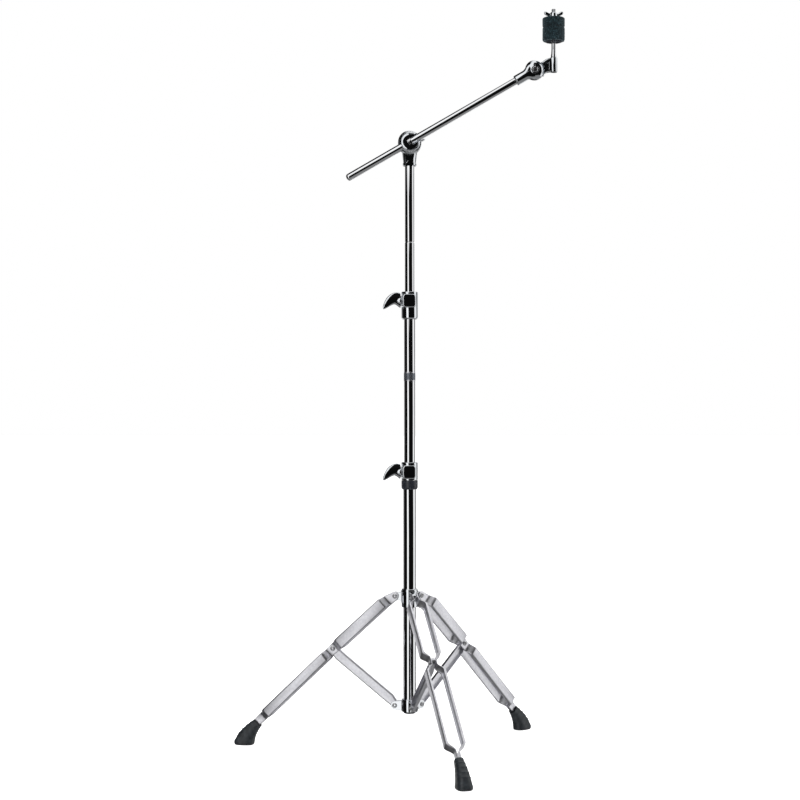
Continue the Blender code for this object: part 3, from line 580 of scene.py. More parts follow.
def clamp_casting(word, body, bore, mouth, foot_round):
    """A tube clamp: a round barrel, a squared soft-edged boss, and a round pad for the bolt's hub."""
    node = f"{word}_clamp"
    joint = f"{node}_bolt_turn"
    low, high = box_mm(node)
    level = joint_point(joint).z / MM
    foot, top = low.z - level, high.z - level
    barrel_r = high.x - COLUMN_AT.x / MM
    shoulder = rounded([(0, top), (barrel_r, top), (barrel_r, foot)], 1.6)[1:-1]
    heel = rounded([(barrel_r, top), (barrel_r, foot), (0, foot)], foot_round, steps=6)[1:-1]
    outline = rounded([(-9.5, -13.6), (17.6, -13.6), (17.6, 13.6), (-9.5, 13.6)], 7.5, closed=True, steps=8)
    boss = shifted(pillow(outline, 26.4, 3.2, 7), y=4.2)
    pad = moved(rod(9.6, 12, BOSS_FACE, 0.5), Z_TO_X)
    seat = [(0, top + 1), (mouth, top + 1), (mouth, top - 10)]
    seat += [(bore, top - 10.6), (bore, foot - 1), (0, foot - 1)]
    hole = moved(rod(BOLT_HOLE_R, 8, 30), Z_TO_X)
    barrel = turned([(0, top), *shoulder, *heel, (0, foot)], 0)
    shape = solid(barrel, add=[boss, pad], cut=[turned(seat, 0), hole])
    make(f"{node}_casting", shape, CAST, body, bolt_frame(joint), node)


def bushing(word, inner):
    """The plastic ring in a clamp's mouth."""
    node = f"{word}_bushing"
    foot, top, outer = extent(node)
    lip = top + 0.6
    profile = [(outer, top), (outer, foot), (inner, foot), (inner, lip), (outer - 1.6, lip)]
    make(f"{node}_moulding", turned(profile, 0.4, ring=True), PLASTIC, node, COLUMN, node)


def build_clamps():
    base_r, middle_r, upper_r = (radius_mm(node) for node in ("base_tube", "middle_tube", "upper_tube"))
    for word, body, held_by, held, mouth, foot_round in (
        ("lower", "base", base_r, middle_r, 14.9, 0.9),
        ("upper", "middle_stage", middle_r, upper_r, 13.7, 5.0),
    ):
        clamp_casting(word, body, held_by + CASTING_GAP, mouth, foot_round)
        bushing(word, held + SLIDING_GAP)
        thumb_bolt(f"{word}_thumb_bolt", f"{word}_clamp_bolt", BOSS_FACE, held_by + SLIDING_GAP)
    thumb_bolt("leg_thumb_bolt", "leg_collar_bolt", 22.2, base_r + SLIDING_GAP)
    node = "lower_clamp_sleeve"
    foot, top, outer = extent(node)
    inner = base_r + 0.25
    profile = [(outer - 0.5, top), (outer, top - 0.8), (outer, foot + 3.6), (outer - 1.8, foot)]
    profile += [(inner, foot), (inner, top)]
    make("lower_sleeve_moulding", turned(profile, 0.6, ring=True), PLASTIC, "base", COLUMN, node)


# ---- tripod

COLLAR_R = 16.2
LEGS = [Leg(number) for number in (1, 2, 3)]


def in_plane(leg, bm):
    """A shape drawn in a leg's middle plane, turned into the column's frame."""
    return moved(bm, (COLUMN.inverted() @ leg.plane).to_3x3().to_4x4())


def ear_outline(reach, height, half):
    """An ear with a round end at this reach and height, wider where it meets the collar."""
    arc = [radians(a) for a in range(-90, 91, 10)]
    outline = [(reach + half * cos(a), height + half * sin(a)) for a in arc]
    return [(12.5, height - half - 1.6), *outline, (12.5, height + half + 1.6)]


def collar(low, high):
    """The round body that a collar's ears stand out from, and the bore to cut through it."""
    body = turned(rounded([(0, high), (COLLAR_R, high), (COLLAR_R, low), (0, low)], 1.6), 0)
    return body, rod(radius_mm("base_tube") + CASTING_GAP, low - 1, high + 1, steps=ROUND)


def build_stay_collar():
    low, high = box_mm("stay_collar")
    body, bore = collar(low.z, high.z)
    ears = []
    for leg in LEGS:
        for side in (-1, 1):
            ear = pillow(ear_outline(leg.low.x, leg.low.z, 8.4), 2.3, 0.7)
            ears.append(in_plane(leg, shifted(ear, y=side * 5.7)))
    make("stay_collar_casting", solid(body, add=ears, cut=[bore]), CAST, "base", COLUMN, "stay_collar")
    for leg in LEGS:
        node = f"stay_{leg.number}_rivet"
        make(f"{node}_head", rivet(7.1), STEEL, "base", leg.across(leg.low), node)


def build_leg_collar():
    low, high = box_mm("leg_collar")
    body, bore = collar(low.z, high.z)
    turn = axes((0, 0, (low.z + high.z) / 2), joint_axis("leg_collar_bolt_turn"), UP)
    boss = moved(rod(8.5, 10, 22, 0.9), turn @ Z_TO_X)
    hole = moved(rod(BOLT_HOLE_R, 6, 30), turn @ Z_TO_X)
    lugs = [in_plane(leg, pillow(ear_outline(leg.top.x, leg.top.z, 7.6), 8.0, 1.2)) for leg in LEGS]
    band = hoop(COLLAR_R + 0.9, 15, high.z - 3, high.z - 6, 0.4)
    shape = solid(body, add=[band, boss, *lugs], cut=[bore, hole])
    make("leg_collar_casting", shape, CAST, "leg_collar", COLUMN, "leg_collar")


def rivet(grip):
    """A hollow rivet through two faces: a rolled rim round a dimple at each end."""
    head = [(0, -0.6), (1.5, -0.5), (2.0, 0.9), (2.8, 1.9), (3.9, 1.7), (4.7, 0.8), (4.9, 0.0)]
    top = [(radius, grip + height) for radius, height in head]
    profile = top + [(2.9, grip), (2.9, -grip)] + [(radius, -height) for radius, height in reversed(top)]
    return turned(profile, 0.3, steps=40)


def channel_ring(along, centre, half, face, depth, side):
    """A cross-section of a pressed channel with rounded shoulders, its web outermost."""
    gauge = 1.6
    radius = min(2.9, 0.75 * depth, half * 0.4)
    arc = [radians(a) for a in range(0, 91, 15)]
    outer = [(half, face - depth)]
    outer += [(half - radius * (1 - cos(a)), face - radius * (1 - sin(a))) for a in arc]
    outer += [(-z, y) for z, y in reversed(outer)]
    inner_radius = max(radius - gauge, 0.25)
    corner = [
        (half - gauge - inner_radius * (1 - cos(a)), face - gauge - inner_radius * (1 - sin(a)))
        for a in (0, radians(45), radians(90))
    ]
    inner = [(half - gauge, face - depth), *corner]
    inner = [(-z, y) for z, y in inner] + list(reversed(inner))
    return [Vector((along, side * y, centre + z)) for z, y in outer + inner]


def eased(first, last, steps):
    """Stations that lead one cross-section smoothly into the next, without the first."""
    stations = []
    for i in range(1, steps + 1):
        share = i / steps
        ease = share * share * (3 - 2 * share)
        along = first[0] + (last[0] - first[0]) * share
        stations.append((along, *(a + (b - a) * ease for a, b in zip(first[1:], last[1:]))))
    return stations


# along a leg's strip from the middle pivot, centre, half width, outer face, depth
STRIP_STATIONS = [
    (-163.0, -8.6, 9.0, 6.25, 1.95),
    (-151.0, -5.6, 10.6, 6.25, 1.95),
    (-138.0, -3.6, 11.2, 19.5, 4.8),
    (-20.0, -1.8, 11.2, 19.5, 4.8),
    (-5.5, -1.3, 9.8, 6.25, 1.95),
    (8.5, -1.3, 9.4, 6.25, 1.95),
    (23.0, -1.5, 9.8, 19.5, 4.8),
    (187.0, -2.2, 9.8, 19.5, 4.8),
    (203.0, -2.4, 8.6, 4.2, 1.95),
    (229.0, -2.4, 7.4, 4.2, 1.95),
]


def strip_stations():
    """A strip's cross-sections: a round tongue on the collar's lug, and flats where the two strips close."""
    start = STRIP_STATIONS[0]
    along, centre, half, face, depth = start
    tongue = 10.6
    stations = []
    for degrees in (8, 20, 35, 52, 70):
        angle = radians(degrees)
        stations.append((along - tongue * cos(angle), centre, half * sin(angle), face, depth))
    stations.append(start)
    for first, last in zip(STRIP_STATIONS, STRIP_STATIONS[1:]):
        stations += eased(first, last, 10 if first[3] != last[3] else 2)
    return stations


def stay_stations(length):
    """A stay's cross-sections: a round tongue at both ends, and a wider stretch set off from their line."""
    tongue = [(8, 0.99), (25, 0.91), (45, 0.71), (65, 0.42), (80, 0.17)]
    half = 7.9
    ends = [(half * back, half * sin(radians(degrees))) for degrees, back in tongue]
    stations = [(-back, 0.0, wide) for back, wide in ends]
    stations += [(2, 0.3, half), (9, 1.7, 8.6), (17, 2.4, 10.0)]
    stations += [(length - 17, -2.9, 10.0), (length - 9, -2.0, 8.6), (length - 2, -0.5, half)]
    stations += [(length + back, 0.0, wide) for back, wide in reversed(ends)]
    return [(*station, 4.0, 8.0) for station in stations]


def build_leg(leg):
    body = f"leg_{leg.number}"
    for side, word in ((1, "left"), (-1, "right")):
        node = f"{body}_{word}_strip"
        rings = [channel_ring(*station, side) for station in strip_stations()]
        make(f"{node}_pressing", loft(rings), STRIP, body, leg.line, node)
    for word, point in (("mid", leg.mid), ("top", leg.top)):
        node = f"{body}_{word}_rivet"
        make(f"{node}_head", rivet(6.55), STEEL, body, leg.across(point), node)
    make(f"{body}_boot", boot(), RUBBER, body, leg.plane, f"{body}_foot")
    node = f"stay_{leg.number}"
    rings = [channel_ring(*station, 1) for station in stay_stations(leg.stay_length)]
    make(f"{node}_pressing", loft(rings), STRIP, node, leg.stay, node)


# a boot's sections from its mouth to the sole: centre radius, height, tilt, half run, half width
BOOT_SECTIONS = [
    (312.0, 45.5, 46.6, 9.6, 8.6),
    (318.0, 39.4, 44.5, 11.0, 9.4),
    (323.6, 33.4, 39.0, 12.7, 10.4),
    (329.0, 27.0, 32.0, 14.5, 11.5),
    (333.6, 20.4, 25.0, 16.5, 12.5),
    (337.2, 14.2, 17.5, 18.3, 13.4),
    (339.4, 9.0, 11.0, 19.4, 14.2),
    (341.2, 5.5, 6.0, 20.4, 15.0),
    (341.4, 3.0, 2.0, 20.4, 15.0),
    (341.3, 1.0, 0.0, 19.4, 14.4),
    (341.2, 0.0, 0.0, 17.8, 13.2),
]


def boot():
    """A rubber foot: a boot with a flat front, raised ribs below its mouth and a rolled rim at the sole."""
    rings = []
    sections = smooth(BOOT_SECTIONS, 7)
    for i, (radius, height, tilt, run, side) in enumerate(sections):
        share = i / (len(sections) - 1)
        rib = 0.0
        if 0.05 < share < 0.47:
            rib = 0.9 * max(0.0, sin(share * 2 * pi * 9.5)) ** 2
        lean = Vector((cos(radians(tilt)), 0, sin(radians(tilt))))
        ring = []
        for angle in around(72):
            c = cos(angle)
            grow = rib * max(0.0, 0.35 + 0.65 * c)
            across = squarish(c, 0.62 if c > 0 else 0.9) * (run + grow)
            aside = squarish(sin(angle), 0.78) * (side + grow * 0.8)
            ring.append(Vector((radius, 0, height)) + lean * across + Vector((0, aside, 0)))
        rings.append(ring)
    radius, height, tilt = BOOT_SECTIONS[0][:3]
    centre = Vector((radius, 0, height))
    inwards = Vector((sin(radians(tilt)), 0, -cos(radians(tilt))))
    mouth = []
    for shrink, sink in ((0.72, 4.0), (0.80, 0.6), (0.90, -0.25)):
        mouth.append([centre + (point - centre) * shrink + inwards * sink for point in rings[0]])
    return loft(mouth + rings)


# ---- boom tilter


def tooth_ring(outer, inner, top, foot, toothed, depth, count):
    """A flat ring with radial teeth cut into its face at the toothed height."""

    def shape(radius, height, angle):
        if abs(height - toothed) > 0.01:
            return radius, height
        saw = abs((angle * count / (2 * pi)) % 1 - 0.5) * 2
        return radius, height - depth * saw

    return hoop(outer, inner, top, foot, 0, steps=6 * count, shape=shape)


# along an ear of a wing nut: its top, its foot and its thickness, as shares
EAR = [(0, 0.62, 0.0, 0.9), (0.35, 0.76, 0.1, 1), (0.62, 0.93, 0.24, 1)]
EAR += [(0.82, 1, 0.34, 0.95), (0.94, 0.93, 0.46, 0.75), (1, 0.8, 0.6, 0.35)]


DRUM_TEETH = 48
TIP_TEETH = 40


def wing(inner, outer, low, high, flip, thickness):
    """One ear of a wing nut, in the XZ plane with the nut's seat at Z = 0."""
    stations = []
    for along, top, foot, thick in EAR:
        x = flip * (inner + (outer - inner) * along)
        stations.append((x, low + (high - low) * top, x, low + (high - low) * foot, thick * thickness / 2))
    return leaf(stations)


def flutes(count, depth, inner, outer):
    """Scores a ring of radial marks into a turned face."""

    def shape(radius, height, angle):
        if inner < radius < outer:
            height -= depth * (abs((angle * count / (2 * pi)) % 1 - 0.5) > 0.28)
        return radius, height

    return shape


def wing_nut(body, at, hub_r, hub_length, bore, ears, thickness):
    """A wing nut on its seat, with a plain bore. Its node is named like the body that it rides on."""
    hub = [(bore, hub_length), (hub_r * 0.74, hub_length), (hub_r * 0.9, hub_length * 0.8)]
    hub += [(hub_r, 1.2), (hub_r, 0), (bore, 0)]
    shape = solid(
        turned(hub, 0.5, ring=True, steps=64),
        add=[wing(*ear, thickness) for ear in ears],
        cut=[rod(bore, -2, hub_length + 12)],
    )
    make(f"{body}_casting", shape, CAST, body, at, body)


def thread(radius, low, high):
    """A screw thread on a plain rod, as one skin with its ends closed."""
    steps, pitch, depth = 40, 1.25, 0.42
    rows = int((high - low) / pitch * 8)
    rings = []
    for row in range(rows + 1):
        z = low + (high - low) * row / rows
        ring = []
        for angle in around(steps):
            phase = (z / pitch - angle / (2 * pi)) % 1
            r = radius - depth * abs(2 * phase - 1)
            ring.append(Vector((r * cos(angle), r * sin(angle), z)))
        rings.append(ring)
    return loft(rings)


def build_holder():
    """The toothed socket on top of the upper tube."""
    low, high = box_mm("boom_holder")
    level = BOOM_PIVOT.z / MM
    disc = high.z - level
    column = COLUMN @ Matrix.Translation((0, 0, BOOM_PIVOT.z))
    foot = low.z - level
    neck = [(0, -4.0), (15.8, -6.5), (15.4, -14), (14.2, -24), (13.1, -33)]
    neck += [(12.6, foot + 5), (12.6, foot), (0, foot)]
    face, back = low.y - COLUMN_AT.y / MM, high.y - COLUMN_AT.y / MM
    disc_profile = [(0, -face), (disc, -face), (disc, -face - 9.0), (disc - 5.0, -face - 13.5)]
    disc_profile.append((0, -face - 13.5))
    plate = moved(turned(rounded(disc_profile, 1.4), 0, steps=192), Z_TO_FRONT)
    boss = moved(rod(10.5, -back + 0.1, 6, 1.2), Z_TO_FRONT)
    rim = [(12.6, foot + 6), (13.6, foot + 4.6), (13.6, foot + 1.2), (12.6, foot + 0.2)]
    rim += [(11, foot + 0.2), (11, foot + 6)]
    shape = solid(
        turned(rounded(neck, 1.2), 0, steps=ROUND),
        add=[plate, boss, turned(rim, 0.3, ring=True)],
        cut=[
            block((-40, -60, -60), (40, face, 60)),
            block((-40, back, -60), (40, 60, 60)),
            rod(radius_mm("upper_tube") + 0.12, foot - 2, foot + 22, steps=ROUND),
            moved(rod(4.3, -30, 30), Z_TO_FRONT),
        ],
    )
    make("boom_holder_casting", shape, CAST, "upper_stage", column, "boom_holder")
    teeth = tooth_ring(disc - 0.3, 16.5, 0.9, -0.2, 0.9, 0.8, DRUM_TEETH)
    make("holder_teeth", teeth, CAST, "upper_stage", column @ along_y(face) @ Z_TO_FRONT)


def build_boom_clamp():
    """The drum that holds the rod, its eye bolt, washer and wing nut. Its frame lies on the rod's axis."""
    low, high = box_mm("boom_clamp")
    plane = BOOM.translation.y / MM
    disc = (high.z - low.z) / 2
    back, front = plane - high.y, plane - low.y
    rod_r = (box_mm("boom_rod")[1].y - box_mm("boom_rod")[0].y) / 2
    face = [(0, front), (13.4, front), (15.6, front - 0.8), (16.6, front - 0.9), (disc - 2.2, front - 3.9)]
    side = [(disc, front - 8.5), (disc, back + 0.9), (0, back + 0.9)]
    profile = rounded([*face, *side], 0.7, steps=4)
    drum = moved(turned(profile, 0, steps=240, shape=flutes(40, 0.5, 15.5, disc - 2.4)), Z_TO_FRONT)
    width = rod_r + 1.1
    shape = solid(
        drum,
        cut=[
            moved(rod(rod_r + 0.25, -40, 40, steps=64), Z_TO_X),
            block((3, -40, -width), (40, 0.5, width)),
            moved(rod(10.05, -4.4, 4.4), Z_TO_X),
            block((-4.3, -1, -9.9), (4.3, 20, 9.9)),
        ],
    )
    make("boom_drum_casting", shape, CAST, "boom_clamp", BOOM, "boom_clamp")
    teeth = tooth_ring(disc - 0.3, 16.5, -0.2, -0.95, -0.95, -0.75, DRUM_TEETH)
    make("drum_teeth", teeth, CAST, "boom_clamp", BOOM @ along_y(-back - 0.9) @ Z_TO_FRONT)

    eye = moved(rod(9.7, -4, 4, 0.8, steps=64), Z_TO_X)
    shank = moved(thread(3.9, 7.5, box_mm("boom_eye_bolt")[1].y - plane), Z_TO_BACK)
    bore = moved(rod(rod_r + 0.25, -10, 10, steps=64), Z_TO_X)
    make("eye_bolt_forging", solid(eye, add=[shank], cut=[bore]), STEEL, "boom_clamp", BOOM, "boom_eye_bolt")
    seat = box_mm("boom_nut_washer")[0].y - plane
    washer = hoop(8.5, 4.3, 1.5, 0, 0.35)
    make("nut_washer_disc", washer, STEEL, "boom_clamp", BOOM @ along_y(seat) @ Z_TO_BACK, "boom_nut_washer")
    nut_at = BOOM @ along_y(seat + 1.8) @ BOOM_NUT_TURN @ Z_TO_BACK
    ears = [(5.5, 33.5, 1.5, 15, 1), (5.5, 19.5, 1.5, 12, -1)]
    wing_nut("boom_wing_nut", nut_at, 8.2, 11, 4.2, ears, 4.8)


def build_boom_rod():
    low, high = box_mm("boom_rod")
    r = (high.y - low.y) / 2
    end_run = r * sin(BOOM_RISE)
    length = (high.x - low.x - 2 * end_run) / cos(BOOM_RISE)
    tail = (low.x - BOOM_PIVOT.x / MM + end_run) / cos(BOOM_RISE)
    tip = tail + length
    skin = hoop(r, r - TUBE_WALL, tip, tail, 0.3)
    make("boom_rod_skin", skin, CHROME, "boom", BOOM @ Z_TO_X, "boom_rod")
    dome = []
    for degrees in range(90, 0, -10):
        angle = radians(degrees)
        dome.append((r * sin(angle), -0.3 - r * 0.8 * cos(angle)))
    cap = [(0, 9), (r - 1.5, 9), (r - 1.5, -0.3), *dome, (0, -0.3 - r * 0.8)]
    at = BOOM @ Matrix.Translation((tail * MM, 0, 0)) @ Z_TO_X
    make("boom_cap_dome", turned(cap, 0, steps=64), CHROME, "boom", at, "boom_rod_cap")


# ---- small tilter and post

TIP_DISC_R = 18.8
TIP_HALF = 9.6
TIP_SCREW_R = 3.4
# the small tilter's neck, from the ferrule to the disc: distance, half height, front, squareness
TIP_NECK = [(-27, 10.0, 10.1, 2), (-22.5, 10.1, 10.1, 2.1), (-19, 10.5, 10, 2.4)]
TIP_NECK += [(-15.5, 11.8, 9.8, 3), (-12, 13.5, 9.7, 3.8), (-6, 15.0, 9.5, 5)]
# its front disc from the middle to the rim: radius, height
TIP_DOME = [(0, 9.6), (6.5, 9.6), (9.5, 9.2), (12.5, 8.1), (15.3, 6.2), (17.4, 4.1), (TIP_DISC_R, 2.0)]


def tip_neck():
    """A round neck that turns squarer and taller towards the disc, with a flat back."""
    rings = []
    for x, half, front, squareness in smooth(TIP_NECK, 5):
        ring = []
        for angle in around(64):
            aside = squarish(sin(angle), 2 / squareness) * front
            ring.append(Vector((x, min(aside, -0.3), squarish(cos(angle), 2 / squareness) * half)))
        rings.append(ring)
    return loft(rings)


def tip_screw():
    low, high = box_mm("tip_screw")
    pivot = joint_point("tip_tilt").y / MM
    front, back = pivot - low.y, pivot - high.y
    r = TIP_SCREW_R
    screw = [(0, front), (4.6, front), (5.7, front - 1.4), (5.7, front - 3.2), (r, front - 3.2)]
    screw += [(r, back + 0.8), (2.8, back), (0, back)]
    slot_turn = Matrix.Rotation(radians(20), 4, "Z")
    slot = moved(block((-7, -0.8, front - 1.6), (7, 0.8, front + 1)), slot_turn)
    return moved(solid(turned(screw, 0.6, steps=48), cut=[slot]), Z_TO_FRONT)


def build_tip_base():
    """The fixed half: a ferrule on the rod that swells into the front disc, and the slotted screw."""
    disc = turned([*smooth(TIP_DOME, 3), (TIP_DISC_R, 0.3), (0, 0.3)], 0.2, steps=128)
    ferrule = turned([(0, -9), (10.2, -9), (10.2, -41.2), (8.6, -43), (0, -43)], 0.8, steps=64)
    halo = [(8.4, TIP_HALF - 1.2), (8.4, TIP_HALF + 0.5), (6.6, TIP_HALF + 0.9)]
    halo += [(5.9, TIP_HALF + 0.1), (5.9, TIP_HALF - 1.2)]
    shape = solid(
        moved(ferrule, Z_TO_X),
        add=[moved(disc, Z_TO_FRONT), tip_neck(), moved(turned(halo, 0.2, ring=True, steps=64), Z_TO_FRONT)],
        cut=[
            moved(rod(TIP_DISC_R + 0.6, -14, 0.25, steps=ROUND), Z_TO_FRONT),
            moved(rod(7.3, -50, -19.2, steps=64), Z_TO_X),
            moved(rod(TIP_SCREW_R + 0.2, -20, 20), Z_TO_FRONT),
        ],
    )
    make("tip_base_casting", shape, CAST, "boom", TIP_IN_BOOM, "tip_base")
    make("tip_screw_turning", tip_screw(), STEEL, "boom", TIP_IN_BOOM, "tip_screw")
    teeth = tooth_ring(TIP_DISC_R - 0.2, 14.0, 0.1, -0.1, -0.1, -0.7, TIP_TEETH)
    make("tip_base_teeth", teeth, CAST, "boom", TIP_IN_BOOM @ along_y(-0.95) @ Z_TO_FRONT)


def build_tip_arm():
    """The moving half: the rear disc, and an arm out to the post's socket with a square hollow in it."""
    reach = (POST.translation.x - TIP.translation.x) / MM
    top = smooth([(reach + 1, 23.6), (reach - 7, 23.2), (22, 20.6), (14.5, 15.2)], 5)
    foot = smooth([(15.5, -10.4), (22, -6.0), (reach - 8, -4.2), (reach + 1, -4.4)], 5)
    disc = turned([(0, TIP_HALF), (TIP_DISC_R, TIP_HALF), (TIP_DISC_R, 0.3), (0, 0.3)], 1.0, steps=128)
    arm = pillow([*top, (0, 12), (0, -9), *foot], 12.4, 2.6, 6)
    socket = turned([(0, 24.4), (7.2, 24.4), (7.2, -4.6), (0, -4.6)], 1.6, steps=64)
    hollow = rounded([(19.8, 0.6), (28.4, -0.4), (28.4, 15.4), (19.8, 10.6)], 1.0, closed=True)
    shape = solid(
        moved(disc, Z_TO_BACK),
        add=[arm, shifted(socket, x=reach)],
        cut=[
            moved(rod(TIP_DISC_R + 0.6, -0.3, 14, steps=ROUND), Z_TO_FRONT),
            shifted(pillow(hollow, 8.0, 0.2), y=-6.0),
            moved(rod(TIP_SCREW_R + 0.2, -20, 20), Z_TO_FRONT),
        ],
    )
    make("tip_arm_casting", shape, CAST, "tip", TIP, "tip_arm")
    lip = tooth_ring(TIP_DISC_R - 0.2, 14.0, 0.1, -0.1, 0.1, 0.0, TIP_TEETH)
    make("tip_arm_teeth", lip, CAST, "tip", TIP @ along_y(0.15) @ Z_TO_FRONT)

    nut_at = TIP @ along_y(TIP_HALF + 0.3) @ TIP_NUT_TURN @ Z_TO_BACK
    ears = [(4.5, 21.5, 1.2, 12, 1), (4.5, 17.0, 1.2, 10, -1)]
    wing_nut("tip_wing_nut", nut_at, 6.8, 9, 3.7, ears, 4.0)


def build_post():
    """The cymbal post with its thread, sleeve, felts and nut, in a frame level with the tilter's axis."""
    level = POST.translation.z / MM
    low, high = box_mm("cymbal_post")
    foot, top = low.z - level, high.z - level
    sleeve_low, sleeve_high = (corner.z - level for corner in box_mm("post_sleeve"))
    shaft = [(0, sleeve_high - 4), (4.0, sleeve_high - 4), (4.0, sleeve_low - 0.3), (4.3, sleeve_low - 1)]
    shaft += [(4.35, 40), (4.7, 32), (5.4, 26.4), (5.6, 24.7), (4.3, 24.7)]
    shaft += [(4.3, foot + 0.5), (0, foot + 0.5)]
    make("post_shaft", turned(shaft, 0.8, steps=64), CHROME, "tip", POST, "cymbal_post")
    nose = turned([(0, top), (3.0, top), (3.6, top - 0.7), (3.6, top - 1.6), (0, top - 1.6)], 0.2, steps=40)
    screw = solid(thread(4.0, sleeve_high - 5, top - 0.6), add=[nose])
    make("post_thread", screw, STEEL, "tip", POST)
    flange = 15.5
    sleeve = [(6, sleeve_high), (6, sleeve_low + 2.6), (7.2, sleeve_low + 1.9), (flange, sleeve_low + 1.9)]
    sleeve += [(flange, sleeve_low), (4.4, sleeve_low), (4.4, sleeve_high)]
    sleeve = turned(sleeve, 0.5, ring=True, steps=72)
    make("post_sleeve_moulding", sleeve, PLASTIC, "tip", POST, "post_sleeve")
    build_felts(level)
    nut_at = Matrix.Translation((POST_AT.x, POST_AT.y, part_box("cymbal_wing_nut")[0].z))
    ears = [(5.0, 18.6, 0.6, 11.5, flip) for flip in (1, -1)]
    wing_nut("cymbal_wing_nut", nut_at, 7.6, 9.5, 4.15, ears, 4.8)


def build_felts(level):
    """Two pressed felt washers: crowned discs with soft, matted sides."""
    for name, node, crown in (("lower_felt_pad", "lower_felt", 0.7), ("upper_felt_pad", "upper_felt", 3.8)):
        foot, top, outer = extent(node)
        foot, top, outer = foot - level, top - level, outer + 0.1
        side = [(outer, top - (top - foot) * k / 9) for k in range(1, 9)]
        profile = [(8, top), (13, top), (outer - crown, top - 0.1), *side, (outer - 0.9, foot)]
        profile += [(14, foot), (8, foot), (6.3, foot), (6.3, top)]
        bm = turned(profile, crown, ring=True, steps=180)
        long_edges = [edge for edge in bm.edges if edge.calc_length() > 2.2]
        bmesh.ops.subdivide_edges(bm, edges=long_edges, cuts=1, use_grid_fill=True)
        matt(bm)
        make(name, bm, FELT, "tip", POST, node)


def matt(bm):
    """Roughens a felt with lumps and a fine nap over its skin. The bore stays smooth."""
    bm.normal_update()
    moves = []
    for vert in bm.verts:
        if vert.co.to_2d().length < 6.6:
            continue
        lump = noise.noise(vert.co * 0.22) * 0.28
        nap = noise.noise(vert.co * 1.4) * 0.16 + noise.noise(vert.co * 3.1 + Vector((7, 3, 1))) * 0.08
        moves.append((vert, vert.normal * (lump + nap - 0.1)))
    for vert, move in moves:
        vert.co += move


# ---- studio

# metres from the column at floor level, and the lens in millimetres on a 36 mm sensor
CAMERA_DISTANCE = 3.456
CAMERA_HEIGHT = 0.691
CAMERA_SIDE = -0.0188
FOCAL_LENGTH = 79.3


def build_camera():
    data = bpy.data.cameras.new("camera")
    data.sensor_width = 36
    data.lens = FOCAL_LENGTH
    camera = link("camera", data)
    camera.location = COLUMN_AT + Vector((CAMERA_SIDE, -CAMERA_DISTANCE, CAMERA_HEIGHT))
    camera.rotation_euler = (radians(90), 0, 0)
    bpy.context.scene.camera = camera


def build_floor():
    bm = bmesh.new()
    bmesh.ops.create_grid(bm, x_segments=2, y_segments=2, size=30)
    floor = mesh_object("floor", bm)
    floor.location.z = -0.0005
    floor.visible_glossy = False
    material = bpy.data.materials.new("pale_floor")
    material.use_nodes = True
    shader = material.node_tree.nodes["Principled BSDF"]
    shader.inputs["Base Color"].default_value = (0.92, 0.92, 0.92, 1)
    shader.inputs["Roughness"].default_value = 0.9
    shader.inputs["Specular IOR Level"].default_value = 0.1
    shader.inputs["Emission Color"].default_value = (1, 1, 1, 1)
    shader.inputs["Emission Strength"].default_value = 0.85
    floor.data.materials.append(material)


# the studio at eye level: brightness by compass, in degrees from the object's front towards +X
STUDIO_WALLS = [(-180, 0.02), (-170, 0.02), (-167, 0.9), (-142, 0.9), (-138, 0.1), (-112, 0.12)]
STUDIO_WALLS += [(-104, 0.004), (-45, 0.004), (-42, 1.1), (-17, 1.1), (-14.5, 0.004), (69, 0.004)]
STUDIO_WALLS += [(75, 0.95), (110, 0.9), (116, 0.01), (138, 0.01), (141, 0.9), (166, 0.9)]
STUDIO_WALLS += [(169, 0.02), (180, 0.02)]
# above it, white canopies on the left, on the right and behind, and dark drapes between them
STUDIO_SKY = [(-180, 0.8), (-168, 0.6), (-162, 0.01), (-62, 0.01), (-57, 1.05), (-8, 1.05), (-3, 0.006)]
STUDIO_SKY += [(66, 0.006), (70, 1.1), (108, 1.1), (114, 0.02), (128, 0.02), (132, 1.2), (180, 0.8)]
STUDIO_FLOOR = [(-180, 0.2), (-152, 0.2), (-140, 0.02), (-98, 0.02), (-72, 0.23), (180, 0.23)]
# by height: how much there is of the canopies, of the white ceiling and of the grey floor
CANOPY_RISE = [(10, 0.0), (16, 1.0)]
CEILING_RISE = [(66, 0.0), (76, 1.0)]
FLOOR_RISE = [(-41, 1.0), (-34, 0.0)]


class World(Tree):
    """The studio's surroundings."""

    def __init__(self):
        world = bpy.data.worlds.new("studio")
        bpy.context.scene.world = world
        super().__init__(world)
        self.nodes.clear()

    def by_angle(self, angle, stops, span):
        """Brightness by an angle in degrees, which runs over this span either side of 0."""
        share = self.math("MULTIPLY_ADD", angle, 1 / (2 * span), 0.5)
        return self.ramp(share, [((place + span) / (2 * span), level) for place, level in stops])

    def mix(self, share, a, b):
        made = self.nodes.new("ShaderNodeMix")
        made.data_type = "RGBA"
        for name, value in zip(("Factor", "A", "B"), (share, a, b)):
            self.plug(next(socket for socket in made.inputs if socket.name == name and socket.enabled), value)
        return next(socket for socket in made.outputs if socket.enabled)

    def background(self, colour):
        return self.node("ShaderNodeBackground", Color=colour).outputs["Background"]


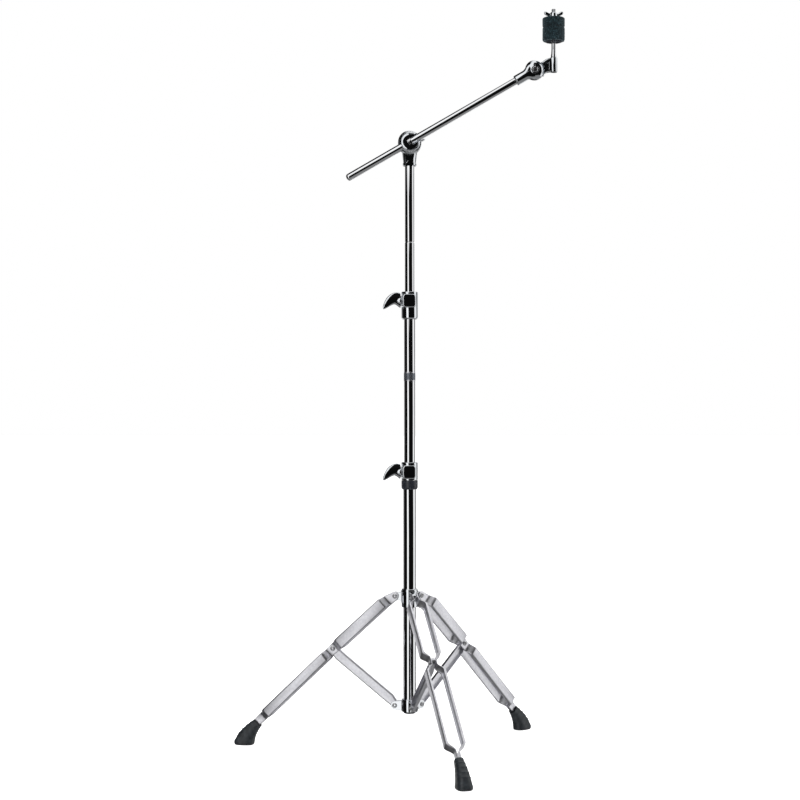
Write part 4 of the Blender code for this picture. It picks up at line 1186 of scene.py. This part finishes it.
def build_world():
    """Soft studio light for the plate: white panels between dark gaps, under canopies and a ceiling."""
    world = World()
    direction = world.nodes.new("ShaderNodeSeparateXYZ")
    world.links.new(world.nodes.new("ShaderNodeTexCoord").outputs["Generated"], direction.inputs["Vector"])
    x, y, z = (direction.outputs[axis] for axis in "XYZ")
    degrees = 180 / pi
    compass = world.math("MULTIPLY", world.math("ARCTAN2", x, world.math("MULTIPLY", y, -1.0)), degrees)
    height = world.math("MULTIPLY", world.math("ARCSINE", z), degrees)
    lean = world.math("MULTIPLY", world.math("MINIMUM", world.math("MAXIMUM", height, 0.0), 30.0), 0.65)
    walls = world.by_angle(world.math("ADD", compass, lean), STUDIO_WALLS, 180)
    sky = world.by_angle(compass, STUDIO_SKY, 180)
    colour = world.mix(world.by_angle(height, CANOPY_RISE, 90), walls, sky)
    colour = world.mix(world.by_angle(height, CEILING_RISE, 90), colour, (1, 1, 1, 1))
    floor = world.by_angle(compass, STUDIO_FLOOR, 180)
    colour = world.mix(world.by_angle(height, FLOOR_RISE, 90), colour, floor)
    seen = world.nodes.new("ShaderNodeMixShader")
    world.links.new(world.nodes.new("ShaderNodeLightPath").outputs["Is Camera Ray"], seen.inputs["Fac"])
    world.links.new(world.background(colour), seen.inputs[1])
    world.links.new(world.background((1, 1, 1, 1)), seen.inputs[2])
    output = world.nodes.new("ShaderNodeOutputWorld")
    world.links.new(seen.outputs["Shader"], output.inputs["Surface"])


def softbox(name, location, aim, size, power):
    data = bpy.data.lights.new(name, "AREA")
    data.shape = "RECTANGLE"
    data.size, data.size_y = size
    data.energy = power
    light = link(name, data)
    light.location = location
    light.rotation_euler = (Vector(aim) - Vector(location)).to_track_quat("-Z", "Y").to_euler()
    light.visible_glossy = False


def build_studio():
    build_camera()
    build_floor()
    build_world()
    softbox("key", (-1.8, -3.2, 3.2), (0, 0, 0.6), (2.4, 2.4), 75)
    softbox("fill", (2.8, -2.0, 2.2), (0, 0, 0.7), (2.0, 2.6), 35)
    softbox("top", (0, 0.2, 4.2), (0, 0, 0), (3.5, 3.5), 60)
    bpy.context.scene.view_settings.view_transform = "Standard"


# ---- assembly


def main():
    build_studio()
    build_column()
    build_clamps()
    build_stay_collar()
    build_leg_collar()
    for leg in LEGS:
        build_leg(leg)
    build_holder()
    build_boom_clamp()
    build_boom_rod()
    build_tip_base()
    build_tip_arm()
    build_post()


main()
